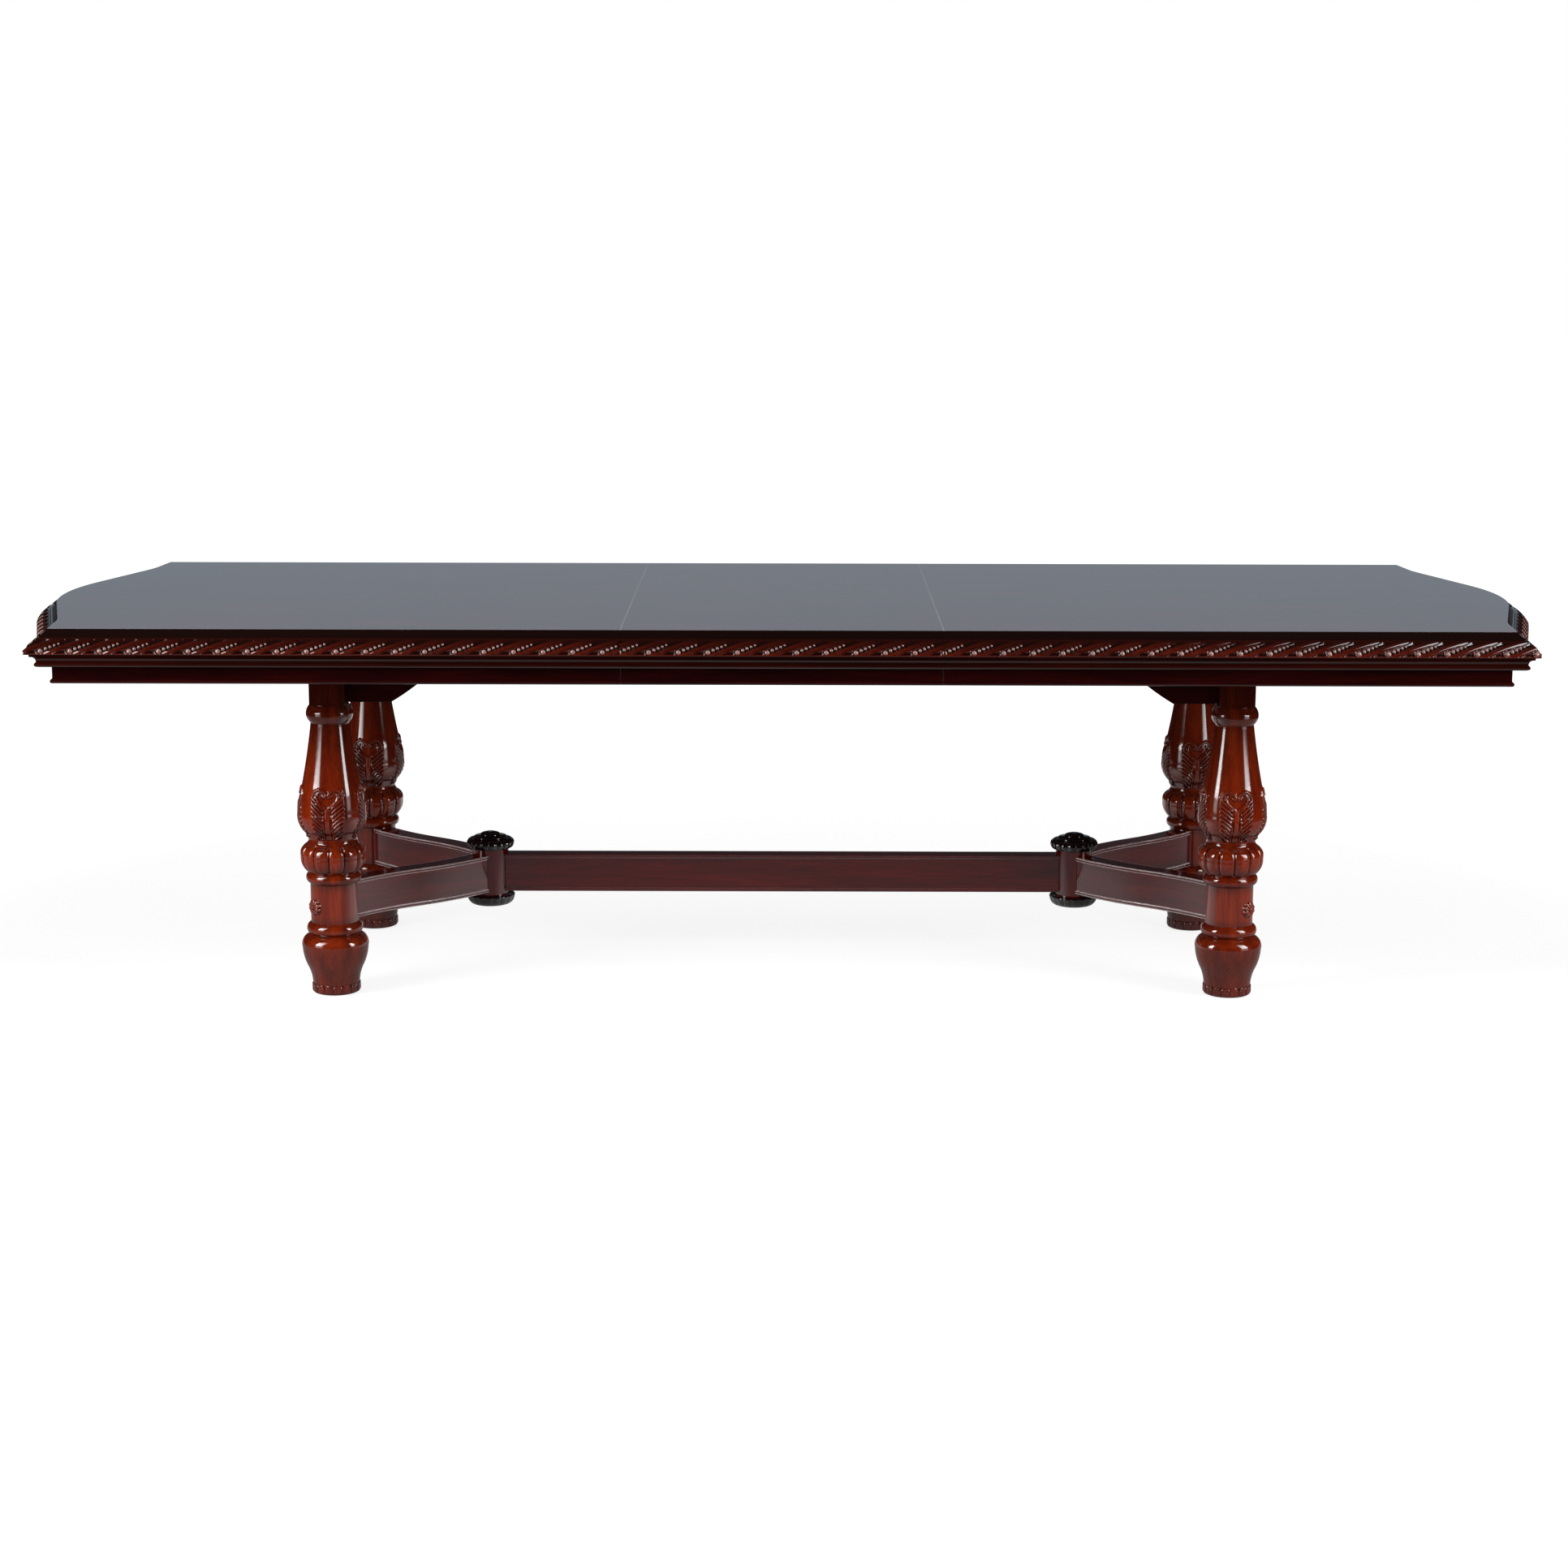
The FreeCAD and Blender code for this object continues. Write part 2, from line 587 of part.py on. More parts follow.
def is_outer_lip(edge, half):
    """Long edges at the outer corners of the lips of the beam."""
    ends = [vertex.Point for vertex in edge.Vertexes]
    if len(ends) < 2 or edge.Length < z.bolt_grip.value:
        return False
    level = abs(ends[0].z - ends[1].z) < z.joint_gap.value
    outside = min(abs(ends[0].y), abs(ends[1].y)) > half - z.joint_gap.value
    return level and outside


def hub_bolt_height():
    return z.beam_bottom + z.beam_height / 2


def arm(label, side_x, side_y):
    """An arm from a hub to a leg: an S in plan, lipped like the beam."""
    body = new_body(label, x=side_x * leg_x, y=side_y * leg_y, turn=toward_hub(side_x, side_y))
    wide = z.beam_thickness / 2
    narrow = wide - z.lip_reach
    layers = (
        (wide, z.beam_bottom, z.lip_height),
        (narrow, z.beam_bottom + z.lip_height, z.beam_height - 2 * z.lip_height),
        (wide, beam_top - z.lip_height, z.lip_height),
    )
    for half, low, height in layers:
        sketch = sketch_on(body, "XY_Plane", low)
        add_path(sketch, arm_plan(half, z.arm_sway * (side_x * side_y)))
        extrude(body, sketch, height)
    bevel_edges(body, z.lip_bevel, is_arm_lip)
    scribe(body, ((ZERO, ZERO, z.barrel_radius), (arm_run, ZERO, z.hub_radius)))
    reach = z.barrel_radius + z.bolt_grip + z.bolt_clearance
    bore(body, bolt_hole, reach, height=z.arm_bolt_height, axis=V(1, 0, 0))
    return body


def is_arm_lip(edge):
    """Long level edges at the top and bottom corners of an arm."""
    ends = [vertex.Point for vertex in edge.Vertexes]
    if len(ends) < 2 or edge.Length < z.bolt_grip.value:
        return False
    near = z.joint_gap.value
    low = max(abs(end.z - z.beam_bottom.value) for end in ends) < near
    high = max(abs(end.z - beam_top.value) for end in ends) < near
    return low or high


def arm_plan(half, sway):
    """Plan of an arm between the axes of leg and hub, which sways to one side and back."""
    middle = arm_run / 2
    return (
        (ZERO, -half), (middle, -half, sway), (arm_run, -half, -sway),
        (arm_run, half), (middle, half, sway), (ZERO, half, -sway),
    )


def hub(label, side):
    """A round hub with a counterbored hole for the beam bolt."""
    body = new_body(label, x=side * hub_x, turn=180 if side > 0 else 0)
    extrude(body, add_circle(sketch_on(body, "XY_Plane", z.hub_bottom), ZERO, ZERO, z.hub_radius),
            z.hub_height)
    bore(body, bolt_hole, z.hub_radius + z.overrun, height=hub_bolt_height(), axis=V(1, 0, 0))
    bore(body, bolt_hole, z.hub_radius, height=hub_bolt_height(), axis=V(-1, 0, 0))
    bore(body, head_hole, z.overrun, x=z.hub_bolt_inset - z.hub_radius,
         height=hub_bolt_height(), axis=V(-1, 0, 0))
    return body


def half_section(radius, length, shares):
    """Half the section of a small turned piece: distance off its axis, along it and arc rise."""
    points = [(ZERO, ZERO)]
    for share in shares:
        rise = (length * share[2],) if len(share) == 3 else ()
        points.append((radius * share[0], length * share[1]) + rise)
    points.append((ZERO, length))
    return points


def turned_piece(label, radius, length, shares, **where):
    """A small turned piece that stands on its local origin."""
    body = new_body(label, **where)
    points = half_section(radius, length, shares)
    turn_profile(body, add_path(sketch_on(body, "XZ_Plane"), points))
    return body


def lying_piece(label, radius, length, shares, **where):
    """A small turned piece whose axis lies along X, with its flat back at the local origin."""
    body = new_body(label, **where)
    points = []
    for out, along, *rise in half_section(radius, length, shares):
        points.append((along, out) + tuple(-part for part in rise))
    turn_profile(body, add_path(sketch_on(body, "XZ_Plane"), points), axis="H_Axis")
    return body


def bolt(label, grip_length, **where):
    """A bolt along X: the head's inner face is at the local origin."""
    body = new_body(label, **where)
    head = add_circle(sketch_on(body, "YZ_Plane"), ZERO, ZERO, z.bolt_head_radius)
    extrude(body, head, z.bolt_head_height, backwards=True)
    shank = add_circle(sketch_on(body, "YZ_Plane"), ZERO, ZERO, z.bolt_radius)
    extrude(body, shank, grip_length)
    return body


def arm_bolts():
    """Bolts that pull the arms up to the legs."""
    inset = z.barrel_radius - z.cap_seat_depth - z.bolt_head_height - z.bolt_head_gap
    pieces = []
    for side_x, side_y, name in SIDES:
        heading = toward_hub(side_x, side_y)
        pieces.append(bolt(f"arm_bolt_{name}", inset + z.barrel_radius + z.bolt_grip,
                           x=side_x * leg_x - inset * cosine(heading),
                           y=side_y * leg_y - inset * sine(heading),
                           height=z.arm_bolt_height, turn=heading))
    return group("arm_bolts", pieces)


def beam_bolts():
    """Bolts that pull the beam up to the hubs."""
    inset = z.hub_radius - z.hub_bolt_inset
    pieces = []
    for side, name in ((-1, "left"), (1, "right")):
        pieces.append(bolt(f"beam_bolt_{name}", inset + z.hub_radius + z.bolt_grip,
                           x=side * (hub_x + inset), height=hub_bolt_height(),
                           turn=180 if side > 0 else 0))
    return group("beam_bolts", pieces)


def rosette_caps():
    """Caps that hide the heads of the arm bolts."""
    seat = z.barrel_radius - z.cap_seat_depth
    pieces = []
    for side_x, side_y, name in SIDES:
        heading = toward_hub(side_x, side_y)
        pieces.append(lying_piece(f"rosette_cap_{name}", z.cap_radius, z.cap_thickness, CAP_SHARES,
                                  x=side_x * leg_x - seat * cosine(heading),
                                  y=side_y * leg_y - seat * sine(heading),
                                  height=z.arm_bolt_height, turn=heading + 180))
    return group("rosette_caps", pieces)


def disc(label, radius, thickness, **where):
    piece = doc.addObject("Part::Cylinder", label)
    piece.Radius = radius.value
    piece.Height = thickness.value
    bind(piece, "Radius", radius)
    bind(piece, "Height", thickness)
    place(piece, **where)
    return piece


def foot_glides():
    """Plastic glides let into the soles of the legs."""
    return group("foot_glides", [
        disc(f"glide_{name}", z.glide_radius, z.glide_thickness, x=side_x * leg_x, y=side_y * leg_y)
        for side_x, side_y, name in SIDES])


def leg_bolts():
    """Hanger bolts that hold the fixed rails down on the leg blocks."""
    bottom = rail_bottom + z.hanger_bolt_in_rail - z.hanger_bolt_length
    return group("leg_bolts", [
        disc(f"leg_bolt_{name}", z.bolt_radius, z.hanger_bolt_length,
             x=side_x * leg_x, y=side_y * leg_y, height=bottom)
        for side_x, side_y, name in SIDES])


def cross_rail(label, side):
    """The rail between the two blocks of a pedestal."""
    half = z.cross_rail_thickness / 2
    inner = leg_y - z.block_side / 2
    return box(label, (side * leg_x - half, -inner, rail_bottom - z.cross_rail_height),
               (side * leg_x + half, inner, rail_bottom))


def bearers(label, turn):
    """Bearers that run inwards from the blocks of a pedestal, cut away towards their free ends."""
    outer = leg_x - z.block_side / 2
    low = rail_bottom - z.bearer_height
    outline = (
        (outer - z.bearer_flat, low, -z.bearer_swell), (outer, low), (outer, rail_bottom),
        (outer - z.bearer_length, rail_bottom),
    )
    pieces = []
    for side, name in ((-1, "near"), (1, "far")):
        body = new_body(f"{label}_{name}")
        sketch = sketch_on(body, "XZ_Plane", side * leg_y - z.bearer_thickness / 2)
        extrude(body, add_path(sketch, outline), z.bearer_thickness)
        pieces.append(body)
    return group(label, pieces, turn)


def fixed_rail(label, turn):
    """A long rail on the leg blocks, grooved on its inner face for the tongue of a slide rail."""
    body = new_body(label, turn=turn)
    groove_half = z.tongue_height / 2 + z.running_gap
    groove_back = rail_inner_y + z.tongue_depth + z.running_gap
    section = (
        (rail_inner_y, rail_bottom), (rail_outer_y, rail_bottom), (rail_outer_y, rail_top),
        (rail_inner_y, rail_top), (rail_inner_y, tongue_mid + groove_half),
        (groove_back, tongue_mid + groove_half), (groove_back, tongue_mid - groove_half),
        (rail_inner_y, tongue_mid - groove_half),
    )
    sketch = add_path(sketch_on(body, "YZ_Plane", z.rail_length / -2), section)
    extrude(body, sketch, z.rail_length)
    depth = z.hanger_bolt_in_rail + z.bolt_clearance
    for side in (-1, 1):
        bore(body, bolt_hole, depth + z.overrun, x=side * leg_x, y=leg_y,
             height=rail_bottom - z.overrun)
    return body


def slide_rails(label, turn):
    """Two rails under a half top, whose tongues run in the fixed rails."""
    pieces = []
    tongue_half = z.tongue_height / 2
    tip = slide_rail_y + z.tongue_depth
    low = panel_bottom - z.slide_rail_height
    for side, name in ((-1, "near"), (1, "far")):
        body = new_body(f"{label}_{name}")
        section = (
            (side * slide_rail_inner_y, low), (side * slide_rail_y, low),
            (side * slide_rail_y, tongue_mid - tongue_half), (side * tip, tongue_mid - tongue_half),
            (side * tip, tongue_mid + tongue_half), (side * slide_rail_y, tongue_mid + tongue_half),
            (side * slide_rail_y, panel_bottom), (side * slide_rail_inner_y, panel_bottom),
        )
        sketch = add_path(sketch_on(body, "YZ_Plane", seam_x + z.slide_rail_inset), section)
        extrude(body, sketch, z.slide_rail_length)
        pieces.append(body)
    return group(label, pieces, turn)


def rail_tie(label, side):
    """The board that keeps the two slide rails of a half parallel."""
    middle = side * (seam_x + z.tie_offset)
    half = z.tie_length / 2
    return box(label, (middle - half, -slide_rail_inner_y, panel_bottom - z.slide_rail_height + half),
               (middle + half, slide_rail_inner_y, panel_bottom))


def cleats(label, middles):
    """Cross cleats under a panel, from the rails to the aprons."""
    half = z.cleat_width / 2
    near = rail_outer_y + z.cleat_clearance
    low = panel_bottom - z.cleat_thickness
    pieces = []
    for row, middle in enumerate(middles):
        pieces.append(box(f"{label}_back_{row}", (middle - half, near, low),
                          (middle + half, apron_inner_y, panel_bottom)))
        pieces.append(box(f"{label}_front_{row}", (middle - half, -apron_inner_y, low),
                          (middle + half, -near, panel_bottom)))
    return group(label, pieces)


def end_points(offset_run):
    """Half of the bowed end, from its middle to the corner and on along the shoulder."""
    centre_x = bow_x - z.bow_radius
    flank_x = centre_x + z.bow_radius * cosine(z.bow_slope)
    flank_y = z.bow_radius * sine(z.bow_slope)
    slope = tangent(z.bow_slope)
    lean = tangent(z.shoulder_lean)
    bend_y = (flank_x + flank_y * slope - corner_x - edge_y * lean) / (slope - lean)
    bend_x = corner_x + (edge_y - bend_y) * lean
    turn = (z.bow_slope - z.shoulder_lean) / 2
    back = z.bend_radius * tangent(turn)
    sag = z.bend_radius * (1 - cosine(turn))
    bow_sag = z.bow_radius * (1 - cosine(z.bow_slope / 2))
    return (
        (bow_x, ZERO), (flank_x, flank_y, -bow_sag),
        (bend_x + back * sine(z.bow_slope), bend_y - back * cosine(z.bow_slope)),
        (bend_x - back * sine(z.shoulder_lean), bend_y + back * cosine(z.shoulder_lean), sag),
        (corner_x - offset_run * sine(z.shoulder_lean), edge_y + offset_run * cosine(z.shoulder_lean)),
    )


def top_panel(label, turn):
    """A half top with its bowed end and its holes for the alignment pins."""
    body = new_body(label, turn=turn)
    half = end_points(ZERO)
    mirrored = []
    for point, after in zip(half, half[1:] + ((),)):
        mirrored.insert(0, (point[0], -point[1]) + tuple(after[2:]))
    mirrored[-1] = (half[0][0], ZERO) + mirrored[-1][2:]
    outline = [(seam_x, edge_y), (seam_x, -edge_y)] + mirrored + list(half[1:])
    sketch = add_path(sketch_on(body, "XY_Plane", panel_bottom), outline)
    extrude(body, sketch, z.top_thickness)
    for offset in (z.inner_pin_offset, z.outer_pin_offset):
        for side in (-1, 1):
            bore(body, z.pin_radius + z.axle_clearance, z.pin_length - z.pin_reach + z.overrun,
                 x=seam_x - z.overrun, y=side * offset, height=pin_height, axis=V(1, 0, 0))
    return body


def alignment_pins(label, turn):
    """Pins in the inner edge of a half top."""
    pieces = []
    for row, offset in (("inner", z.inner_pin_offset), ("outer", z.outer_pin_offset)):
        for side, name in ((-1, "near"), (1, "far")):
            body = new_body(f"{label}_{row}_{name}")
            sketch = sketch_on(body, "YZ_Plane", seam_x - z.pin_reach)
            add_circle(sketch, side * offset, pin_height, z.pin_radius)
            extrude(body, sketch, z.pin_length)
            pieces.append(body)
    return group(label, pieces, turn)


def leaf_panel():
    """The removable leaf, with slots in its edges that drop over the alignment pins."""
    body = new_body("leaf_panel")
    sketch = add_path(sketch_on(body, "XY_Plane", panel_bottom),
                      rectangle(-leaf_edge, -edge_y, leaf_edge, edge_y))
    extrude(body, sketch, z.top_thickness)
    slots = sketch_on(body, "XY_Plane", panel_bottom)
    half = z.pin_radius + z.slot_clearance
    reach = leaf_edge - z.pin_reach - z.slot_clearance
    for offset in (z.inner_pin_offset, z.outer_pin_offset):
        for side in (-1, 1):
            middle = side * offset
            add_path(slots, rectangle(reach, middle - half, leaf_edge + z.overrun, middle + half))
            add_path(slots, rectangle(-leaf_edge - z.overrun, middle - half, -reach, middle + half))
    extrude(body, slots, z.top_thickness / 2 + half, "Pocket", backwards=True)
    return body


def moulding_section(origin, side):
    """Section of the edge moulding, outwards from a line on the flat top's edge."""
    points = []
    for share in MOULDING_SHARES:
        point = [origin + side * z.moulding_reach * share[0],
                 z.table_height - z.moulding_depth * share[1]]
        if len(share) == 3:
            point.append(side * z.moulding_reach * share[2])
        points.append(tuple(point))
    inner = origin - side * z.apron_setback
    return points + [(inner, z.table_height - z.moulding_depth), (inner, panel_bottom),
                     (origin, panel_bottom)]


def apron_section(origin, side):
    """Section of the apron: a board with a half-round along its lower edge."""
    outer = origin - side * z.apron_setback
    inner = outer - side * z.apron_thickness
    low = panel_bottom - z.apron_height
    return [(outer, panel_bottom), (outer, low + z.apron_bead),
            (outer, low, side * z.apron_bead * BEAD_SHARE), (inner, low), (inner, panel_bottom)]


def mitre_line(side):
    """The mitre at a corner: a point inside it and a point outside it."""
    across = cosine(z.shoulder_lean)
    along = 1 + sine(z.shoulder_lean)
    inside = (corner_x - z.overrun * across, side * (edge_y - z.overrun * along))
    outside = (corner_x + z.overrun * across, side * (edge_y + z.overrun * along))
    return inside, outside


def straight_run(label, section, side, start, mitred, turn=ZERO):
    """A straight length of moulding or apron along one long side, mitred at the corner."""
    body = new_body(label, turn=turn)
    sketch = add_path(sketch_on(body, "YZ_Plane", start), section(side * edge_y, side))
    if not mitred:
        extrude(body, sketch, -2 * start)
        return body
    extrude(body, sketch, corner_x + z.overrun - start)
    inside, outside = mitre_line(side)
    beyond = corner_x + 2 * z.overrun
    cutter = sketch_on(body, "XY_Plane", z.table_height + z.overrun)
    add_path(cutter, (inside, outside, (beyond, outside[1]), (beyond, inside[1])))
    extrude(body, cutter, z.table_height, "Pocket")
    return body


def end_run(label, section, turn):
    """Moulding or apron round the bowed end, mitred at both corners."""
    body = new_body(label, turn=turn)
    profile = add_path(sketch_on(body, "XZ_Plane"), section(bow_x, 1))
    spine = add_path(sketch_on(body, "XY_Plane"), end_points(z.overrun / 2), closed=False)
    pipe = body.newObject("PartDesign::AdditivePipe", f"{label}_run")
    pipe.Profile = profile
    pipe.Spine = (spine, [])
    mirror = body.newObject("PartDesign::Mirrored", f"{label}_mirror")
    mirror.Originals = [pipe]
    plane = next(item for item in body.Origin.OriginFeatures if item.Role == "XZ_Plane")
    mirror.MirrorPlane = (plane, [""])
    body.Tip = mirror
    cutter = sketch_on(body, "XY_Plane", z.table_height + z.overrun)
    for side in (-1, 1):
        inside, outside = mitre_line(side)
        back_x = inside[0] - z.overrun
        add_path(cutter, (inside, outside, (back_x, outside[1]), (back_x, inside[1])))
    extrude(body, cutter, z.table_height, "Pocket")
    return body


def pinion_bridge():
    """The board under the fixed rails that carries the pinion."""
    body = new_body("pinion_bridge")
    half = z.bridge_length / 2
    plan = rectangle(-half, -rail_outer_y, half, rail_outer_y)
    sketch = add_path(sketch_on(body, "XY_Plane", rail_bottom - z.bridge_thickness), plan)
    extrude(body, sketch, z.bridge_thickness)
    bore(body, z.axle_radius + z.axle_clearance, z.bridge_thickness,
         height=rail_bottom - z.bridge_thickness)
    return body


def pinion_axle():
    """The pinion's axle, headed above the pinion."""
    body = new_body("pinion_axle")
    bottom = rail_bottom - z.bridge_thickness
    head = gear_bottom + z.gear_face + z.running_gap
    top = head + z.axle_head_height
    sketch = add_path(sketch_on(body, "XZ_Plane"), (
        (ZERO, bottom), (z.axle_radius, bottom), (z.axle_radius, head), (z.axle_head_radius, head),
        (z.axle_head_radius, top), (ZERO, top)))
    turn_profile(body, sketch)
    return body


def involute(angle):
    return math.tan(angle) - angle


def plate(outline, thickness):
    """A flat plate between the origin plane and its thickness."""
    return Part.Face(Part.makePolygon(outline + outline[:1])).extrude(V(0, 0, thickness.value))


def gear_node(label, shape, turn=0):
    """A node for a rack or the pinion, whose shape stands on the level of the gears."""
    feature = doc.addObject("Part::Feature", label)
    feature.Label = label
    feature.Shape = shape
    feature.Placement = FreeCAD.Placement(V(0, 0, gear_bottom.value), FreeCAD.Rotation(V(0, 0, 1), turn))
    return feature


def pinion():
    """A spur pinion with involute flanks, a gap facing each rack, and a bore for its axle."""
    teeth = int(z.pinion_teeth.value)
    pressure = math.radians(z.pressure_angle.value)
    pitch = pitch_radius.value
    base = pitch * math.cos(pressure)
    tip = pitch + z.gear_module.value * ADDENDUM_SHARE
    foot = pitch - z.gear_module.value * DEDENDUM_SHARE
    half_tooth = math.pi / (2 * teeth) - z.gear_backlash.value / (4 * pitch) + involute(pressure)
    start = max(base, foot)
    flank = []
    for step in range(FLANK_STEPS + 1):
        radius = start + (tip - start) * step / FLANK_STEPS
        flank.append((radius, half_tooth - involute(math.acos(min(1.0, base / radius)))))
    flank.insert(0, (foot, flank[0][1]))
    outline = []
    for tooth in range(teeth):
        middle = (tooth + 0.5) * 2 * math.pi / teeth
        sides = [(radius, middle - angle) for radius, angle in flank]
        sides += [(radius, middle + angle) for radius, angle in reversed(flank)]
        outline += [V(radius * math.cos(angle), radius * math.sin(angle), 0) for radius, angle in sides]
    hole = Part.makeCylinder(z.axle_radius.value + z.axle_clearance.value, z.gear_face.value)
    return gear_node("pinion", plate(outline, z.gear_face).cut(hole))


def rack(label, turn):
    """A rack bar on one side of the pinion, with a raised foot under its half top."""
    pitch_line = pitch_radius.value
    module = z.gear_module.value
    step = math.pi * module
    slant = math.tan(math.radians(z.pressure_angle.value))
    tip_y = pitch_line - module * ADDENDUM_SHARE
    root_y = pitch_line + module * DEDENDUM_SHARE
    back_y = pitch_line + z.rack_back.value
    half_tooth = step / 4 - z.gear_backlash.value / 4
    tip_half = half_tooth - (pitch_line - tip_y) * slant
    root_half = half_tooth + (root_y - pitch_line) * slant
    left = -z.rack_outer_reach.value
    right = z.rack_inner_reach.value
    first = math.ceil((left + z.rack_foot_length.value + root_half) / step)
    last = math.floor((right - root_half) / step)
    outline = [V(left, back_y, 0), V(left, root_y, 0)]
    for tooth in range(first, last + 1):
        middle = tooth * step
        outline += [V(middle - root_half, root_y, 0), V(middle - tip_half, tip_y, 0),
                    V(middle + tip_half, tip_y, 0), V(middle + root_half, root_y, 0)]
    outline += [V(right, root_y, 0), V(right, back_y, 0)]
    rise = panel_bottom.value - gear_bottom.value
    foot = Part.makeBox(z.rack_foot_length.value, z.rack_foot_width.value, rise,
                        V(left, back_y - z.rack_foot_width.value, 0))
    return gear_node(label, plate(outline, z.gear_face).fuse(foot).removeSplitter(), turn)


def base_parts():
    """Everything that stands still: pedestals, beam and fixed rails."""
    parts = [leg(f"leg_{name}", side_x, side_y) for side_x, side_y, name in SIDES]
    parts += [arm(f"arm_{name}", side_x, side_y) for side_x, side_y, name in SIDES]
    parts += [foot_glides(), rosette_caps(), arm_bolts(), beam_bolts(), leg_bolts(), centre_beam()]
    for side, name in ((-1, "left"), (1, "right")):
        turn = 180 if side < 0 else 0
        parts.append(hub(f"hub_{name}", side))
        parts.append(turned_piece(f"hub_cap_{name}", z.hub_cap_radius, z.hub_cap_height,
                                  HUB_CAP_SHARES, x=side * hub_x, height=hub_top))
        parts.append(turned_piece(f"hub_foot_{name}", z.hub_cap_radius, z.hub_foot_height,
                                  HUB_FOOT_SHARES, x=side * hub_x,
                                  height=z.hub_bottom - z.hub_foot_height))
        parts.append(cross_rail(f"cross_rail_{name}", side))
        parts.append(bearers(f"bearers_{name}", turn))
    parts += [fixed_rail("fixed_rail_back", 0), fixed_rail("fixed_rail_front", 180)]
    parts += [pinion_bridge(), pinion_axle(), pinion()]
    return parts


def half_parts(name, side):
    """One half top with all that slides with it."""
    turn = 180 if side < 0 else 0
    parts = [top_panel(f"top_panel_{name}", turn), alignment_pins(f"alignment_pins_{name}", turn),
             slide_rails(f"slide_rails_{name}", turn), rail_tie(f"rail_tie_{name}", side),
             rack(f"rack_{name}", 180 if side > 0 else 0)]
    offsets = (z.inner_cleat_offset, z.outer_cleat_offset)
    parts.append(cleats(f"panel_cleats_{name}", [side * (seam_x + offset) for offset in offsets]))
    for kind, section in (("edge_moulding", moulding_section), ("apron", apron_section)):
        for face, where in (("front", -1), ("back", 1)):
            parts.append(straight_run(f"{kind}_{face}_{name}", section, where * side, seam_x, True,
                                      turn))
        parts.append(end_run(f"{kind}_end_{name}", section, turn))
    return parts


def leaf_parts():
    """The removable leaf with its own mouldings, aprons and cleats."""
    parts = [leaf_panel(), cleats("leaf_cleats", [z.leaf_cleat_offset, -z.leaf_cleat_offset])]
    for face, side in (("front", -1), ("back", 1)):
        for kind, section in (("leaf_moulding", moulding_section), ("leaf_apron", apron_section)):
            parts.append(straight_run(f"{kind}_{face}", section, side, -leaf_edge, False))
    return parts


def check_document(parts):
    """Stop before anything is written if a feature failed, cut nothing or left no solid."""
    for thing in doc.Objects:
        for word in ("Invalid", "Error"):
            if word in thing.State:
                raise RuntimeError(f"{thing.Label}: {thing.State}")
        if thing.TypeId in ("PartDesign::Pocket", "PartDesign::Groove", "PartDesign::PolarPattern",
                            "PartDesign::SubtractiveCylinder"):
            base = thing.BaseFeature
            if base is not None and thing.Shape.Volume >= base.Shape.Volume:
                raise RuntimeError(f"{thing.Label} removes nothing")
    for part in parts:
        shape = part.Shape
        if shape.isNull() or not shape.isValid() or not shape.Solids:
            raise RuntimeError(f"{part.Label} is not a valid solid")


def main():
    parts = base_parts() + half_parts("left", -1) + half_parts("right", 1) + leaf_parts()
    doc.recompute()
    check_document(parts)
    os.makedirs("parts", exist_ok=True)
    for part in parts:
        part.Shape.exportStep(os.path.join("parts", f"{part.Label}.step"))
    print(len(parts), "nodes,", sum(len(part.Shape.Solids) for part in parts), "solids")


main()
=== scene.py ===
import bmesh
import bpy
import math
import numpy as np
from mathutils import Matrix, Vector


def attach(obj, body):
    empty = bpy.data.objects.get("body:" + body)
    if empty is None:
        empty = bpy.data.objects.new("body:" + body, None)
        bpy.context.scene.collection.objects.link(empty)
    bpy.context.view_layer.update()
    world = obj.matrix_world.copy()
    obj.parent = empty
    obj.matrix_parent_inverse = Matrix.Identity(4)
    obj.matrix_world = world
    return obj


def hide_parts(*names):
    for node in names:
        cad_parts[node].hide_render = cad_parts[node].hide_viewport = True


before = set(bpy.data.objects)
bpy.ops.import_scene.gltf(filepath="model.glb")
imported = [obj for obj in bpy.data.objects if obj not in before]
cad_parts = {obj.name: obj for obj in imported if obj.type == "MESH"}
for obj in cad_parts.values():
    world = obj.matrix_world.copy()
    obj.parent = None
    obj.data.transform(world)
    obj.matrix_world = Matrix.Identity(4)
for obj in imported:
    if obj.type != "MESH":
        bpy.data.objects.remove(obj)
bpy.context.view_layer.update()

MM = 0.001

# Sizes in millimetres, as the solids have them.
LEG_X, LEG_Y = 900.0, 290.0
HUB_X = 614.0
HUB_TOP = 238.0
HUB_FOOT_BASE = 118.0
BARREL_RADIUS = 47.2
CAP_SEAT_DEPTH = 3.2
CAP_HEIGHT = 182.0
BLOCK_BOTTOM = 590.0
BLOCK_TOP = 700.7
BLOCK_HALF = 35.0
TABLE_HEIGHT = 775.0
EDGE_Y = 568.5
CORNER_X = 1385.0
BOW_X = 1483.0
BOW_RADIUS = 740.0
BOW_SLOPE = math.radians(14.0)
BEND_RADIUS = 300.0
SHOULDER_LEAN = math.radians(4.5)
SEAM_X = 305.4
LEAF_EDGE = 305.0

SIDES = ((-1, -1, "front_left"), (-1, 1, "back_left"), (1, -1, "front_right"), (1, 1, "back_right"))


def rgb(code):
    """Linear colour of an sRGB hex code."""
    parts = [int(code[at:at + 2], 16) / 255 for at in (1, 3, 5)]
    return [part / 12.92 if part <= 0.04045 else ((part + 0.055) / 1.055) ** 2.4 for part in parts] + [1.0]


